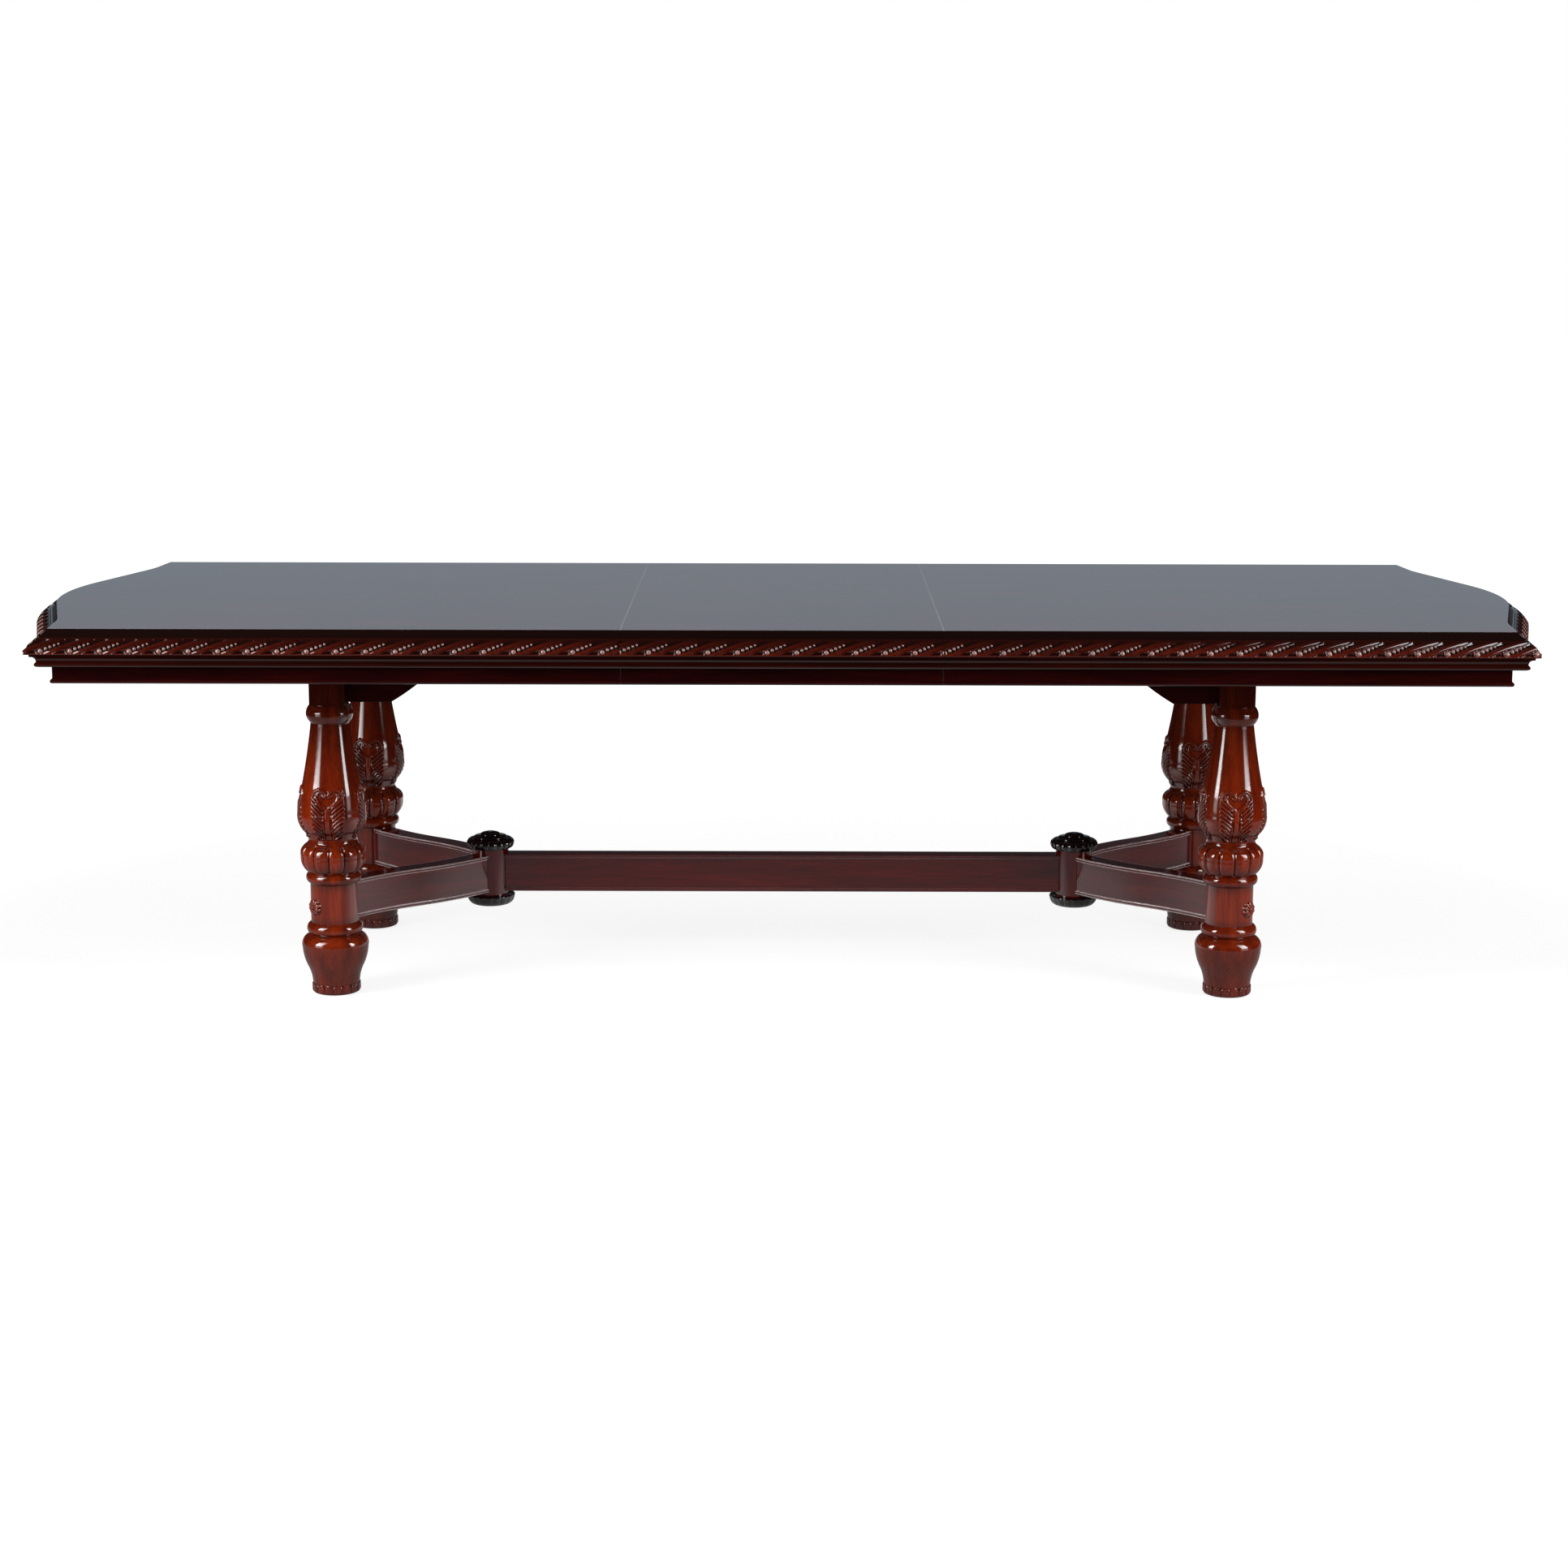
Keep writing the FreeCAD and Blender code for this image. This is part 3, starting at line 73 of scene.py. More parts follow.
def add_node(tree, kind, inputs=None, **settings):
    """Add a node with its settings, and fill its inputs with values or with other nodes' outputs."""
    node = tree.nodes.new(kind)
    for name, value in settings.items():
        setattr(node, name, value)
    for name, value in (inputs or {}).items():
        if isinstance(value, bpy.types.NodeSocket):
            tree.links.new(value, node.inputs[name])
        else:
            node.inputs[name].default_value = value
    return node


def output_of(tree, kind, output, inputs=None, **settings):
    """One output of a new node."""
    return add_node(tree, kind, inputs, **settings).outputs[output]


def maths(tree, operation, *values):
    return output_of(tree, "ShaderNodeMath", "Value", dict(enumerate(values)), operation=operation)


def vectors(tree, operation, *values, output="Vector"):
    return output_of(tree, "ShaderNodeVectorMath", output, dict(enumerate(values)), operation=operation)


def ranged(tree, value, low, high, to_low=0.0, to_high=1.0):
    """A value mapped from low and high to two other values, and held at them beyond."""
    return output_of(tree, "ShaderNodeMapRange", "Result", {
        "Value": value, "From Min": low, "From Max": high, "To Min": to_low, "To Max": to_high})


def mixed(tree, share, first, second):
    """First colour where the share is zero, second where it is one."""
    return output_of(tree, "ShaderNodeMix", "Result", {"Factor": share, "A": first, "B": second},
                     data_type="RGBA")


def mapped(tree, vector, **settings):
    return output_of(tree, "ShaderNodeMapping", "Vector", {"Vector": vector, **settings})


def noise(tree, vector, scale, detail, roughness=0.5, distortion=0.0):
    return output_of(tree, "ShaderNodeTexNoise", "Fac", {
        "Vector": vector, "Scale": scale, "Detail": detail, "Roughness": roughness,
        "Distortion": distortion})


def bump(tree, height, strength, distance, **normal):
    return output_of(tree, "ShaderNodeBump", "Normal", {
        "Height": height, "Strength": strength, "Distance": distance, **normal})


def colour_stops(tree, factor, stops):
    """Colour ramp through (position, sRGB hex) stops."""
    ramp = add_node(tree, "ShaderNodeValToRGB", {"Fac": factor})
    elements = ramp.color_ramp.elements
    while len(elements) < len(stops):
        elements.new(0.5)
    for element, (position, code) in zip(elements, stops):
        element.position = position
        element.color = rgb(code)
    return ramp.outputs["Color"]


def new_material(name):
    """A material with an empty tree, and its Object coordinates."""
    material = bpy.data.materials.new(name)
    material.use_nodes = True
    material.node_tree.nodes.clear()
    return material, material.node_tree, output_of(material.node_tree, "ShaderNodeTexCoord", "Object")


def principled(tree, **inputs):
    """End a material's tree in one Principled shader."""
    inputs = {name.replace("_", " "): value for name, value in inputs.items()}
    shader = output_of(tree, "ShaderNodeBsdfPrincipled", "BSDF", inputs)
    add_node(tree, "ShaderNodeOutputMaterial", {"Surface": shader})


# Materials

# Dark glaze for the recesses of carvings, also painted as shade on shaded parts.
DARK_GLAZE_AND_SHADE = "#0F0504"
# Pale tone for painted highlights on the high points of the carving.
PAINTED_HIGHLIGHT_WOOD = "#F0CFC6"
# Colour of the painted highlight along eased edges.
PAINTED_EDGE_HIGHLIGHT = "#FFF0F0"
LACQUER_IOR = 1.6


def gloss_lacquered_cherry(name, turn, stops, coat_roughness, waves, eased=0.0, edge_highlight=0.0):
    """Cherry stained red-brown under a gloss lacquer that is polished out.

    The grain shows as long soft streaks through the stain, the lacquer over it is almost a mirror
    with a faint waviness, and dark glaze stays in the recesses of the carving; the same glaze is
    also painted as shade on some parts. Where the glaze attribute is below zero, on high points,
    the stain is painted paler as a highlight. Edges sanded before lacquering are eased by a given
    radius in mm, and some carry a painted highlight as a thin pale line.
    """
    material, tree, place = new_material(name)
    along = mapped(tree, place, Rotation=turn)
    # Growth rings about 25 mm apart across the board, drawn out 12 times along it.
    rings = noise(tree, mapped(tree, along, Scale=(3.3, 40.0, 40.0)), 1.0, 3.0, 0.55, 0.6)
    # Fibres about 2 mm wide and 50 mm long.
    fibres = noise(tree, mapped(tree, along, Scale=(20.0, 500.0, 500.0)), 1.0, 2.0)
    grain = output_of(tree, "ShaderNodeMix", "Result", {"Factor": 0.35, "A": rings, "B": fibres},
                      data_type="FLOAT")
    # Glaze and painted shade darken the stain; below zero a painted highlight makes it paler.
    hollow = output_of(tree, "ShaderNodeAttribute", "Fac", attribute_name="hollow")
    finish = mixed(tree, hollow, colour_stops(tree, grain, stops), rgb(DARK_GLAZE_AND_SHADE))
    finish = mixed(tree, maths(tree, "MULTIPLY", hollow, -1.0), finish, rgb(PAINTED_HIGHLIGHT_WOOD))
    normal = {}
    if eased:
        edge = output_of(tree, "ShaderNodeBevel", "Normal", {"Radius": eased * MM}, samples=4)
        normal = {"Normal": edge}
    # Painted highlight: a thin pale line along the eased edges, where the bevel normal bends away.
    if edge_highlight:
        flat = output_of(tree, "ShaderNodeNewGeometry", "Normal")
        bend = vectors(tree, "DOT_PRODUCT", edge, flat, output="Value")
        line = ranged(tree, bend, 0.99, 0.93, 0.0, edge_highlight)
        # Upright edges get no painted highlight, only those that face up or down.
        rise = maths(tree, "ABSOLUTE", output_of(tree, "ShaderNodeSeparateXYZ", "Z", {"Vector": edge}))
        finish = mixed(tree, ranged(tree, rise, 0.05, 0.25, 0.0, line), finish, rgb(PAINTED_EDGE_HIGHLIGHT))
    # Pores of the wood under the lacquer, and waves about 12 mm long in the lacquer.
    pores = bump(tree, fibres, 0.15, 0.0002, **normal)
    lacquer = bump(tree, noise(tree, place, 80.0, 1.0), waves, 0.0004, **normal)
    principled(tree, Base_Color=finish, Roughness=ranged(tree, fibres, 0.0, 1.0, 0.30, 0.44), Normal=pores,
               Specular_IOR_Level=0.0, Coat_Weight=1.0, Coat_IOR=LACQUER_IOR,
               Coat_Roughness=coat_roughness, Coat_Normal=lacquer)
    return material


def mottled(name, pattern_of, stops, roughness, relief=None, metallic=0.0):
    """A material in which one pattern drives the colour, the roughness and the bump."""
    material, tree, place = new_material(name)
    pattern = pattern_of(tree, place)
    inputs = {"Normal": bump(tree, pattern, *relief)} if relief else {}
    principled(tree, Base_Color=colour_stops(tree, pattern, stops), Metallic=metallic,
               Roughness=ranged(tree, pattern, 0.0, 1.0, *roughness), **inputs)
    return material


def planed_poplar(name, turn):
    """Bare poplar from the planer: pale, matt, with greenish-brown streaks along the board."""
    def streaks(tree, place):
        along = mapped(tree, place, Rotation=turn)
        return noise(tree, mapped(tree, along, Scale=(4.0, 90.0, 90.0)), 1.0, 5.0, 0.6)

    return mottled(name, streaks, ((0.30, "#8F6E48"), (0.50, "#B08C60"), (0.72, "#C4A477")), (0.55, 0.75),
                   (0.4, 0.0004))


def zinc_plated_steel():
    """Steel with a bright zinc plate: cool grey with a fine, blotchy crystal bloom about 4 mm across."""
    return mottled("zinc_plated_steel", lambda tree, place: noise(tree, place, 250.0, 4.0, 0.6),
                   ((0.35, "#A4A7A6"), (0.65, "#C9CBC8")), (0.25, 0.42), (0.2, 0.0001), 1.0)


def moulded_nylon():
    """Black-brown moulded nylon glides, dulled by scuffs from the floor about 1.5 mm apart."""
    return mottled("moulded_nylon", lambda tree, place: noise(tree, place, 650.0, 3.0, 0.6),
                   ((0.35, "#1C1814"), (0.70, "#2E2823")), (0.45, 0.65))


LEG_STAIN = ((0.30, "#460F03"), (0.46, "#641904"), (0.60, "#7D2506"), (0.76, "#943109"))
ROPE_STAIN = ((0.30, "#330902"), (0.46, "#490F03"), (0.60, "#5B1505"), (0.76, "#6C1C07"))
FRAME_STAIN = ((0.30, "#300505"), (0.50, "#480A08"), (0.72, "#601209"))
APRON_STAIN = ((0.30, "#160203"), (0.50, "#240404"), (0.72, "#360806"))
TOP_STAIN = ((0.30, "#1E0806"), (0.50, "#340F0A"), (0.72, "#4A190E"))
CAP_STAIN = ((0.30, "#0C0507"), (0.50, "#13080A"), (0.72, "#1D0B0B"))
QUARTER = math.pi / 2
ALONG_TABLE = (0.0, 0.0, 0.0)
ACROSS_TABLE = (0.0, 0.0, -QUARTER)
UPRIGHT = (0.0, QUARTER, 0.0)
ARM_TURN = math.radians(45.4)


def cherry(kind, *values):
    return gloss_lacquered_cherry(f"gloss_lacquered_cherry_{kind}", *values)


# After the stain: coat roughness, waves, the eased radius in mm and the share of a painted edge highlight.
leg_cherry = cherry("leg", UPRIGHT, LEG_STAIN, 0.10, 0.08)
rope_cherry_along = cherry("rope", ALONG_TABLE, ROPE_STAIN, 0.08, 0.05)
rope_cherry_across = cherry("end_rope", ACROSS_TABLE, ROPE_STAIN, 0.08, 0.05)
apron_cherry_along = cherry("apron", ALONG_TABLE, APRON_STAIN, 0.06, 0.05, 1.2)
apron_cherry_across = cherry("end_apron", ACROSS_TABLE, APRON_STAIN, 0.06, 0.05, 1.2)
beam_cherry = cherry("beam", ALONG_TABLE, FRAME_STAIN, 0.08, 0.03, 2.0, 0.1)
rising_arm_cherry = cherry("rising_arm", (0.0, 0.0, -ARM_TURN), FRAME_STAIN, 0.08, 0.03, 2.4, 0.9)
falling_arm_cherry = cherry("falling_arm", (0.0, 0.0, ARM_TURN), FRAME_STAIN, 0.08, 0.03, 2.4, 0.9)
hub_cherry = cherry("hub", UPRIGHT, FRAME_STAIN, 0.12, 0.08, 1.2)
cap_cherry = gloss_lacquered_cherry("dark_glazed_cherry", UPRIGHT, CAP_STAIN, 0.06, 0.05)
top_cherry = gloss_lacquered_cherry(
    "polished_cherry_veneer", ALONG_TABLE, TOP_STAIN, 0.02, 0.02, 2.2, 0.35)
poplar_along = planed_poplar("planed_poplar_along", ALONG_TABLE)
poplar_across = planed_poplar("planed_poplar_across", ACROSS_TABLE)
steel = zinc_plated_steel()
nylon = moulded_nylon()


# Meshes

SHARP_EDGE = math.radians(38.0)


def mesh_from_grid(points, hollow, wrap_columns, caps=True):
    """Vertices and faces of a grid of points (rows, columns, 3), with its ends closed at a centre."""
    rows, columns = points.shape[:2]
    index = np.arange(rows * columns).reshape(rows, columns)
    after = np.roll(index, -1, axis=1) if wrap_columns else index[:, 1:]
    here = index if wrap_columns else index[:, :-1]
    faces = np.stack((here[:-1], after[:-1], after[1:], here[1:]), axis=-1).reshape(-1, 4).tolist()
    verts = points.reshape(-1, 3).tolist()
    glazes_and_painted_light = hollow.reshape(-1).tolist()
    if caps:
        for row, turned in ((0, False), (rows - 1, True)):
            verts.append(points[row].mean(axis=0).tolist())
            glazes_and_painted_light.append(0.0)
            centre = len(verts) - 1
            ring = index[row].tolist()
            for start, end in zip(ring, ring[1:] + ring[:1]):
                faces.append((start, end, centre) if turned else (end, start, centre))
    return verts, faces, glazes_and_painted_light


def joined_mesh(name, parts):
    """One mesh from parts of (vertices in mm, faces, hollows)."""
    verts, faces, glazes_and_painted_light = [], [], []
    for part_verts, part_faces, part_glazes_and_painted_light in parts:
        faces += [[len(verts) + corner for corner in face] for face in part_faces]
        verts += part_verts
        glazes_and_painted_light += part_glazes_and_painted_light
    mesh = bpy.data.meshes.new(name)
    mesh.from_pydata((np.array(verts) * MM).tolist(), [], faces)
    mesh.attributes.new("hollow", "FLOAT", "POINT").data.foreach_set("value", glazes_and_painted_light)
    return mesh


def linked(name, data):
    """A new object in the scene."""
    item = bpy.data.objects.new(name, data)
    bpy.context.scene.collection.objects.link(item)
    return item


def finish_piece(name, mesh, material, body, replaced):
    """A lacquered piece that rides on its body in place of a CAD node."""
    mesh.materials.clear()
    mesh.materials.append(material)
    mesh.polygons.foreach_set("material_index", [0] * len(mesh.polygons))
    mesh.validate()
    mesh.update()
    mesh.set_sharp_from_angle(angle=SHARP_EDGE)
    piece = linked(name, mesh)
    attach(piece, body)
    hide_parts(replaced)


def arc(start, end, rise, steps):
    """Points after start up to end on an arc that rises to the left of the way."""
    (x0, y0), (x1, y1) = start, end
    if abs(rise) < 1e-6 or steps < 2:
        return [(x0 + (x1 - x0) * at / steps, y0 + (y1 - y0) * at / steps) for at in range(1, steps + 1)]
    length = math.hypot(x1 - x0, y1 - y0)
    radius = (length * length / 4 + rise * rise) / (2 * abs(rise))
    sweep = 2 * math.asin(min(1.0, length / (2 * radius)))
    side = 1 if rise > 0 else -1
    points = []
    for at in range(1, steps + 1):
        angle = sweep * (at / steps - 0.5)
        along = length / 2 + radius * math.sin(angle)
        lift = side * (radius * math.cos(angle) - (radius - abs(rise)))
        points.append((x0 + (x1 - x0) / length * along - (y1 - y0) / length * lift,
                       y0 + (y1 - y0) / length * along + (x1 - x0) / length * lift))
    return points


def sampled(outline, spacing):
    """Points along an outline of (a, b) or (a, b, rise), at most a spacing apart."""
    points = [outline[0][:2]]
    for before, after in zip(outline, outline[1:]):
        rise = after[2] if len(after) == 3 else 0.0
        length = math.hypot(after[0] - before[0], after[1] - before[1])
        steps = max(1, math.ceil((length + abs(rise)) / spacing(before[1], after[1])))
        points += arc(before[:2], after[:2], rise, steps)
    return points


def smooth(value, low, high):
    """Zero below low, one above high and a smooth step between."""
    part = np.clip((value - low) / (high - low), 0.0, 1.0)
    return part * part * (3 - 2 * part)


# Turned elements of a leg: radius, height and shares as the solids have them.
LEG_ELEMENTS = (
    (48.5, 20.5, ((0.88, 0.0), (1.0, 0.38, -0.10), (1.0, 0.85), (0.96, 1.0, -0.04))),
    (66.0, 100.0, ((0.715, 0.04), (0.85, 0.35, 0.015), (1.0, 0.74, -0.02), (0.825, 0.99, -0.05))),
    (56.5, 25.0, ((0.885, 0.05), (0.885, 0.95, -0.24))),
    (47.2, 81.0, ((1.0, 0.01), (1.0, 0.99))),
    (56.5, 22.0, ((0.885, 0.05), (0.885, 0.95, -0.24))),
    (65.0, 60.0, ((0.80, 0.02), (1.0, 0.55, -0.07), (0.815, 0.95, -0.083))),
    (49.5, 18.0, ((1.0, 0.1), (1.0, 0.9, 0.06))),
    (65.0, 224.0, ((0.77, 0.01), (1.0, 0.20, -0.025), (0.88, 0.47, -0.007), (0.59, 0.99, 0.005))),
    (47.0, 38.0, ((0.82, 0.02), (0.82, 0.98, -0.22))),
)
LEG_COLUMNS = 288
GLIDE_STAND = 1.5
# Painted shade: the square block under the top is darkened with glaze.
BLOCK_PAINTED_SHADE = 0.7
MELON_LOW, MELON_HIGH = 250.0, 310.0
LEAF_FOOT = 321.0


def leg_outline():
    """Outline of the turning from the glide to the block, as (radius, height, rise)."""
    height = GLIDE_STAND
    outline = []
    for radius, length, shares in LEG_ELEMENTS:
        for share in shares:
            rise = (length * share[2],) if len(share) == 3 else ()
            outline.append((radius * share[0], height + length * share[1]) + rise)
        height += length
    outline.append((outline[-1][0], height))
    return outline


def leg_row_spacing(low, high):
    """Closer rows where the leg is carved."""
    middle = (low + high) / 2
    if middle < 24:
        return 1.3
    if MELON_LOW - 4 < middle < 440:
        return 1.35
    return 3.2


# One half of an acanthus leaf: its rolled rim and the ridge inside it, sideways and upwards in mm.
LEAF_RIM = ((31.5, 70.0), (32.5, 80.0), (31.0, 91.0), (26.0, 100.0), (18.5, 104.5), (11.0, 103.0),
            (4.5, 99.0), (2.2, 94.0), (4.5, 89.5), (7.5, 91.5))
LEAF_RIDGE = ((0.0, 65.0), (5.0, 69.5), (12.0, 74.5), (18.0, 81.0), (21.0, 88.0), (19.0, 95.0))
# Share of the painted highlight on the crests of the leaf.
LEAF_CREST_HIGHLIGHT = 0.22
# Dark glaze painted as shade at the ends of each turning and up the neck of the vase, and darker over the
# bulbous foot.
FOOT_SHADE = 0.42
FOOT_SHADE_TOP = 128.0
NECK_SHADE = 0.40
NECK_LOW, NECK_HIGH = 440.0, 585.0
END_SHADE = 0.45
END_SHADE_REACH = 20.0


def distance_to_line(across, up, line):
    """Distance in mm from each place to a broken line."""
    nearest = np.full(across.shape, 1e6)
    for (x0, y0), (x1, y1) in zip(line, line[1:]):
        part = ((across - x0) * (x1 - x0) + (up - y0) * (y1 - y0)) / ((x1 - x0) ** 2 + (y1 - y0) ** 2)
        part = np.clip(part, 0.0, 1.0)
        nearest = np.minimum(nearest, np.hypot(across - x0 - part * (x1 - x0), up - y0 - part * (y1 - y0)))
    return nearest


def rolled(distance, half_width):
    """Round profile of a carved roll, one at its middle and nothing beyond its half width."""
    return np.sqrt(np.clip(1 - (distance / half_width) ** 2, 0.0, 1.0))


def carved_leaf(across, up):
    """Relief of one acanthus leaf in mm, and how deep each place lies in a groove, less a painted highlight
    on its crests.
    """
    side = np.abs(across)
    rise = np.clip(up / 66.0, 0, 1)
    stem = 5.6 - 1.4 * rise
    strip = 11.0 - 4.6 * rise
    ridge = distance_to_line(side, up, LEAF_RIDGE)
    rim = distance_to_line(side, up, LEAF_RIM)
    # Feathers start at the stem or at the ridge of the heart, and rise outwards.
    inner = np.maximum(strip + 0.6, np.interp(up, (64.0, 74.5, 88.0, 96.0), (0.0, 13.0, 22.0, 24.0)))
    phase = (up - 1.15 * side + 0.006 * side ** 2) / 8.8
    feather = np.abs(np.sin(np.pi * phase)) ** 0.8
    edge = np.interp(up, (0.0, 10.0, 30.0, 60.0, 84.0), (25.0, 29.0, 32.5, 34.0, 33.0)) - 2.6 * (1 - feather)
    on_feathers = smooth(side - inner, -0.5, 0.8) * smooth(edge - side, -0.6, 1.2)
    on_feathers *= smooth(up, -0.5, 1.5) * smooth(90.0 - up, 0.0, 4.0)
    relief = on_feathers * (0.6 + 3.7 * feather)
    groove = on_feathers * (1 - feather) ** 1.1
    on_stem = smooth(stem - side, -0.6, 0.6) * smooth(71.0 - up, 0.0, 8.0) * smooth(up, -0.5, 1.0)
    relief = np.maximum(relief, 2.4 * on_stem)
    on_strip = smooth(strip - side, -0.6, 0.6) * smooth(side - stem - 1.3, -0.5, 0.5)
    on_strip *= smooth(62.0 - up, 0.0, 26.0) * smooth(up, -0.5, 1.0)
    relief = np.maximum(relief, 2.0 * on_strip)
    cut = np.exp(-((side - stem - 0.7) / 0.6) ** 2) * smooth(66.0 - up, 0.0, 4.0) * smooth(up, 0.0, 2.0)
    groove = np.maximum(groove, cut)
    in_heart = smooth(up - np.interp(side, (0.0, 13.0, 21.0, 31.0), (66.0, 75.0, 82.0, 90.0)), 0.0, 1.5)
    in_heart *= smooth(np.interp(side, (0.0, 5.0, 18.0, 26.0, 32.0), (98.0, 100.0, 104.0, 99.0, 88.0)) - up,
                       0.0, 1.5)
    relief = relief * (1 - in_heart) + 0.6 * in_heart
    groove *= 1 - in_heart
    hush = np.exp(-((rim - 3.6) / 0.9) ** 2) * in_heart + np.exp(-((ridge - 2.8) / 0.8) ** 2) * in_heart
    groove = np.maximum(groove, 0.7 * np.clip(hush, 0, 1))
    relief = np.maximum(relief, 3.4 * rolled(rim, 2.9))
    relief = np.maximum(relief, 3.0 * rolled(ridge, 2.2))
    curl = np.hypot(side - 6.0, up - 90.5)
    relief = np.maximum(relief, 3.9 * rolled(curl, 3.2))
    # Painted highlight: the crests of the feathers and the rolled rim are painted paler.
    crest = on_feathers * feather ** 5 * (1 - in_heart) + 0.8 * rolled(rim, 1.6)
    return relief, np.clip(groove * 1.15, 0, 1) - LEAF_CREST_HIGHLIGHT * crest * (groove < 0.1)


def leg_painted_shade(height):
    """Dark glaze painted on a turned leg as shade, and darker over the foot, for a grid of heights."""
    ends = np.cumsum([GLIDE_STAND] + [length for _, length, _ in LEG_ELEMENTS])
    nearest = np.abs(height[..., None] - ends).min(axis=-1)
    shade = END_SHADE * (1 - smooth(nearest, 0.0, END_SHADE_REACH))
    shade = np.maximum(shade, NECK_SHADE * smooth(height, NECK_LOW, NECK_HIGH))
    return np.maximum(shade, FOOT_SHADE * smooth(FOOT_SHADE_TOP - height, 0.0, 40.0))


def leg_relief(angle, height, radius):
    """Outward relief in mm, and glaze with painted shade and painted highlights over a whole leg, for grids
    of angle, height and radius.
    """
    relief = np.zeros_like(radius)
    hollow = leg_painted_shade(height)
    turn = np.mod(angle + math.pi / 4, math.pi / 2) - math.pi / 4
    leaf, groove = carved_leaf(turn * radius, height - LEAF_FOOT)
    on_vase = smooth(height, LEAF_FOOT - 0.5, LEAF_FOOT + 0.5) * (height < LEAF_FOOT + 112)
    relief += leaf * on_vase
    hollow = np.minimum(hollow + groove * on_vase, 1.0)
    lobe = np.abs(2 * np.mod(angle / (math.pi / 6), 1.0) - 1)
    fade = smooth(height, MELON_LOW, MELON_LOW + 5) * smooth(MELON_HIGH - height, 1.0, 6.0)
    relief -= 4.6 * fade * lobe ** 4
    hollow = np.maximum(hollow, fade * np.clip((lobe - 0.88) / 0.08, 0, 1) * 0.95)
    petal = np.abs(2 * np.mod(angle / (math.pi / 8), 1.0) - 1)
    scallop = smooth(height, 3.0, 6.5) * smooth(21.8 - height, 0.0, 1.0)
    tip = smooth(height, 17.0 - 5.0 * (1 - petal), 20.0 - 5.0 * (1 - petal))
    relief -= scallop * (2.2 * petal ** 3 + 1.3 * tip * petal)
    hollow = np.maximum(hollow, scallop * np.clip((petal - 0.72) / 0.2, 0, 1) * 0.9)
    return relief, hollow


def turned_grid(outline, columns, relief_at):
    """Grid of points and glazes of a turned and carved piece."""
    outline = np.array(outline)
    angles = np.linspace(0.0, 2 * math.pi, columns, endpoint=False)
    radius = np.repeat(outline[:, :1], columns, axis=1)
    height = np.repeat(outline[:, 1:], columns, axis=1)
    angle = np.repeat(angles[None, :], len(outline), axis=0)
    relief, hollow = relief_at(angle, height, radius)
    radius = np.maximum(radius + relief, 0.2)
    return np.stack((radius * np.cos(angle), radius * np.sin(angle), height), axis=-1), hollow


def bevelled_block(x, y, half, low, high, bevel):
    """A square post with small bevels along its upright corners."""
    plan = []
    for side_x, side_y in ((1, -1), (1, 1), (-1, 1), (-1, -1)):
        near = (side_x * half, side_y * (half - bevel))
        far = (side_x * (half - bevel), side_y * half)
        plan += [near, far] if side_x * side_y > 0 else [far, near]
    verts = [(x + px, y + py, z) for z in (low, high) for px, py in plan]
    count = len(plan)
    faces = [(at, (at + 1) % count, count + (at + 1) % count, count + at) for at in range(count)]
    faces += [tuple(range(count - 1, -1, -1)), tuple(range(count, 2 * count))]
    return verts, faces, [BLOCK_PAINTED_SHADE] * len(verts)


def carved_legs():
    """Four legs, each with its square block."""
    points, hollow = turned_grid(sampled(leg_outline(), leg_row_spacing), LEG_COLUMNS, leg_relief)
    for side_x, side_y, name in SIDES:
        shift = np.array((side_x * LEG_X, side_y * LEG_Y, 0.0))
        turning = mesh_from_grid(points + shift, hollow, True)
        block = bevelled_block(shift[0], shift[1], BLOCK_HALF, BLOCK_BOTTOM, BLOCK_TOP, 1.0)
        mesh = joined_mesh(f"carved_leg_{name}", [turning, block])
        finish_piece(mesh.name, mesh, leg_cherry, "base", f"leg_{name}")


# Section of the edge moulding, outwards and downwards from the arris of the flat top.
BAND_SECTION = ((0.0, 0.0), (0.9, -0.5, 0.15), (9.8, -8.9, -0.6), (10.0, -9.6), (13.5, -12.8, 1.3),
                (13.5, -13.9))
NOSE_SECTION = ((13.5, -13.9), (41.0, -36.9, 3.3), (41.0, -42.6))
FOOT_SECTION = ((41.0, -42.6), (40.0, -44.2, 0.4), (31.2, -45.8), (31.2, -49.7), (20.1, -61.1, -3.7),
                (22.1, -62.1), (20.5, -69.6, 2.4), (16.4, -71.0))
BACK_SECTION = ((16.4, -71.0), (-5.0, -71.0), (-5.0, -22.0), (0.0, -22.0), (0.0, 0.0))
ROPE_PITCH = 610.0 / 11
ROPE_COLUMNS = 40
FIRST_PEARL = 12.0
PEARL_LINE = 2.06
PEARL_HEIGHT = 7.5
ROPE_HEIGHT = 36.0
FLAT_GLAZE = 1.0
# Glaze on the rope's lobes, with painted shade that darkens them towards the top.
LOBE_GLAZE_AND_SHADE = (0.32, 0.92)
FOOT_GLAZE = 0.75
PEARLS = ((0.0, 5.0), (9.8, 3.3), (17.8, 3.0), (25.6, 2.6), (33.0, 2.2))
# Pearls are painted paler than the stain, as a highlight.
PEARL_PAINTED_HIGHLIGHT = -0.18
TILE_MERGE = 0.02
SPARE_LENGTH = 50.0
LEAF_REPEATS = 12


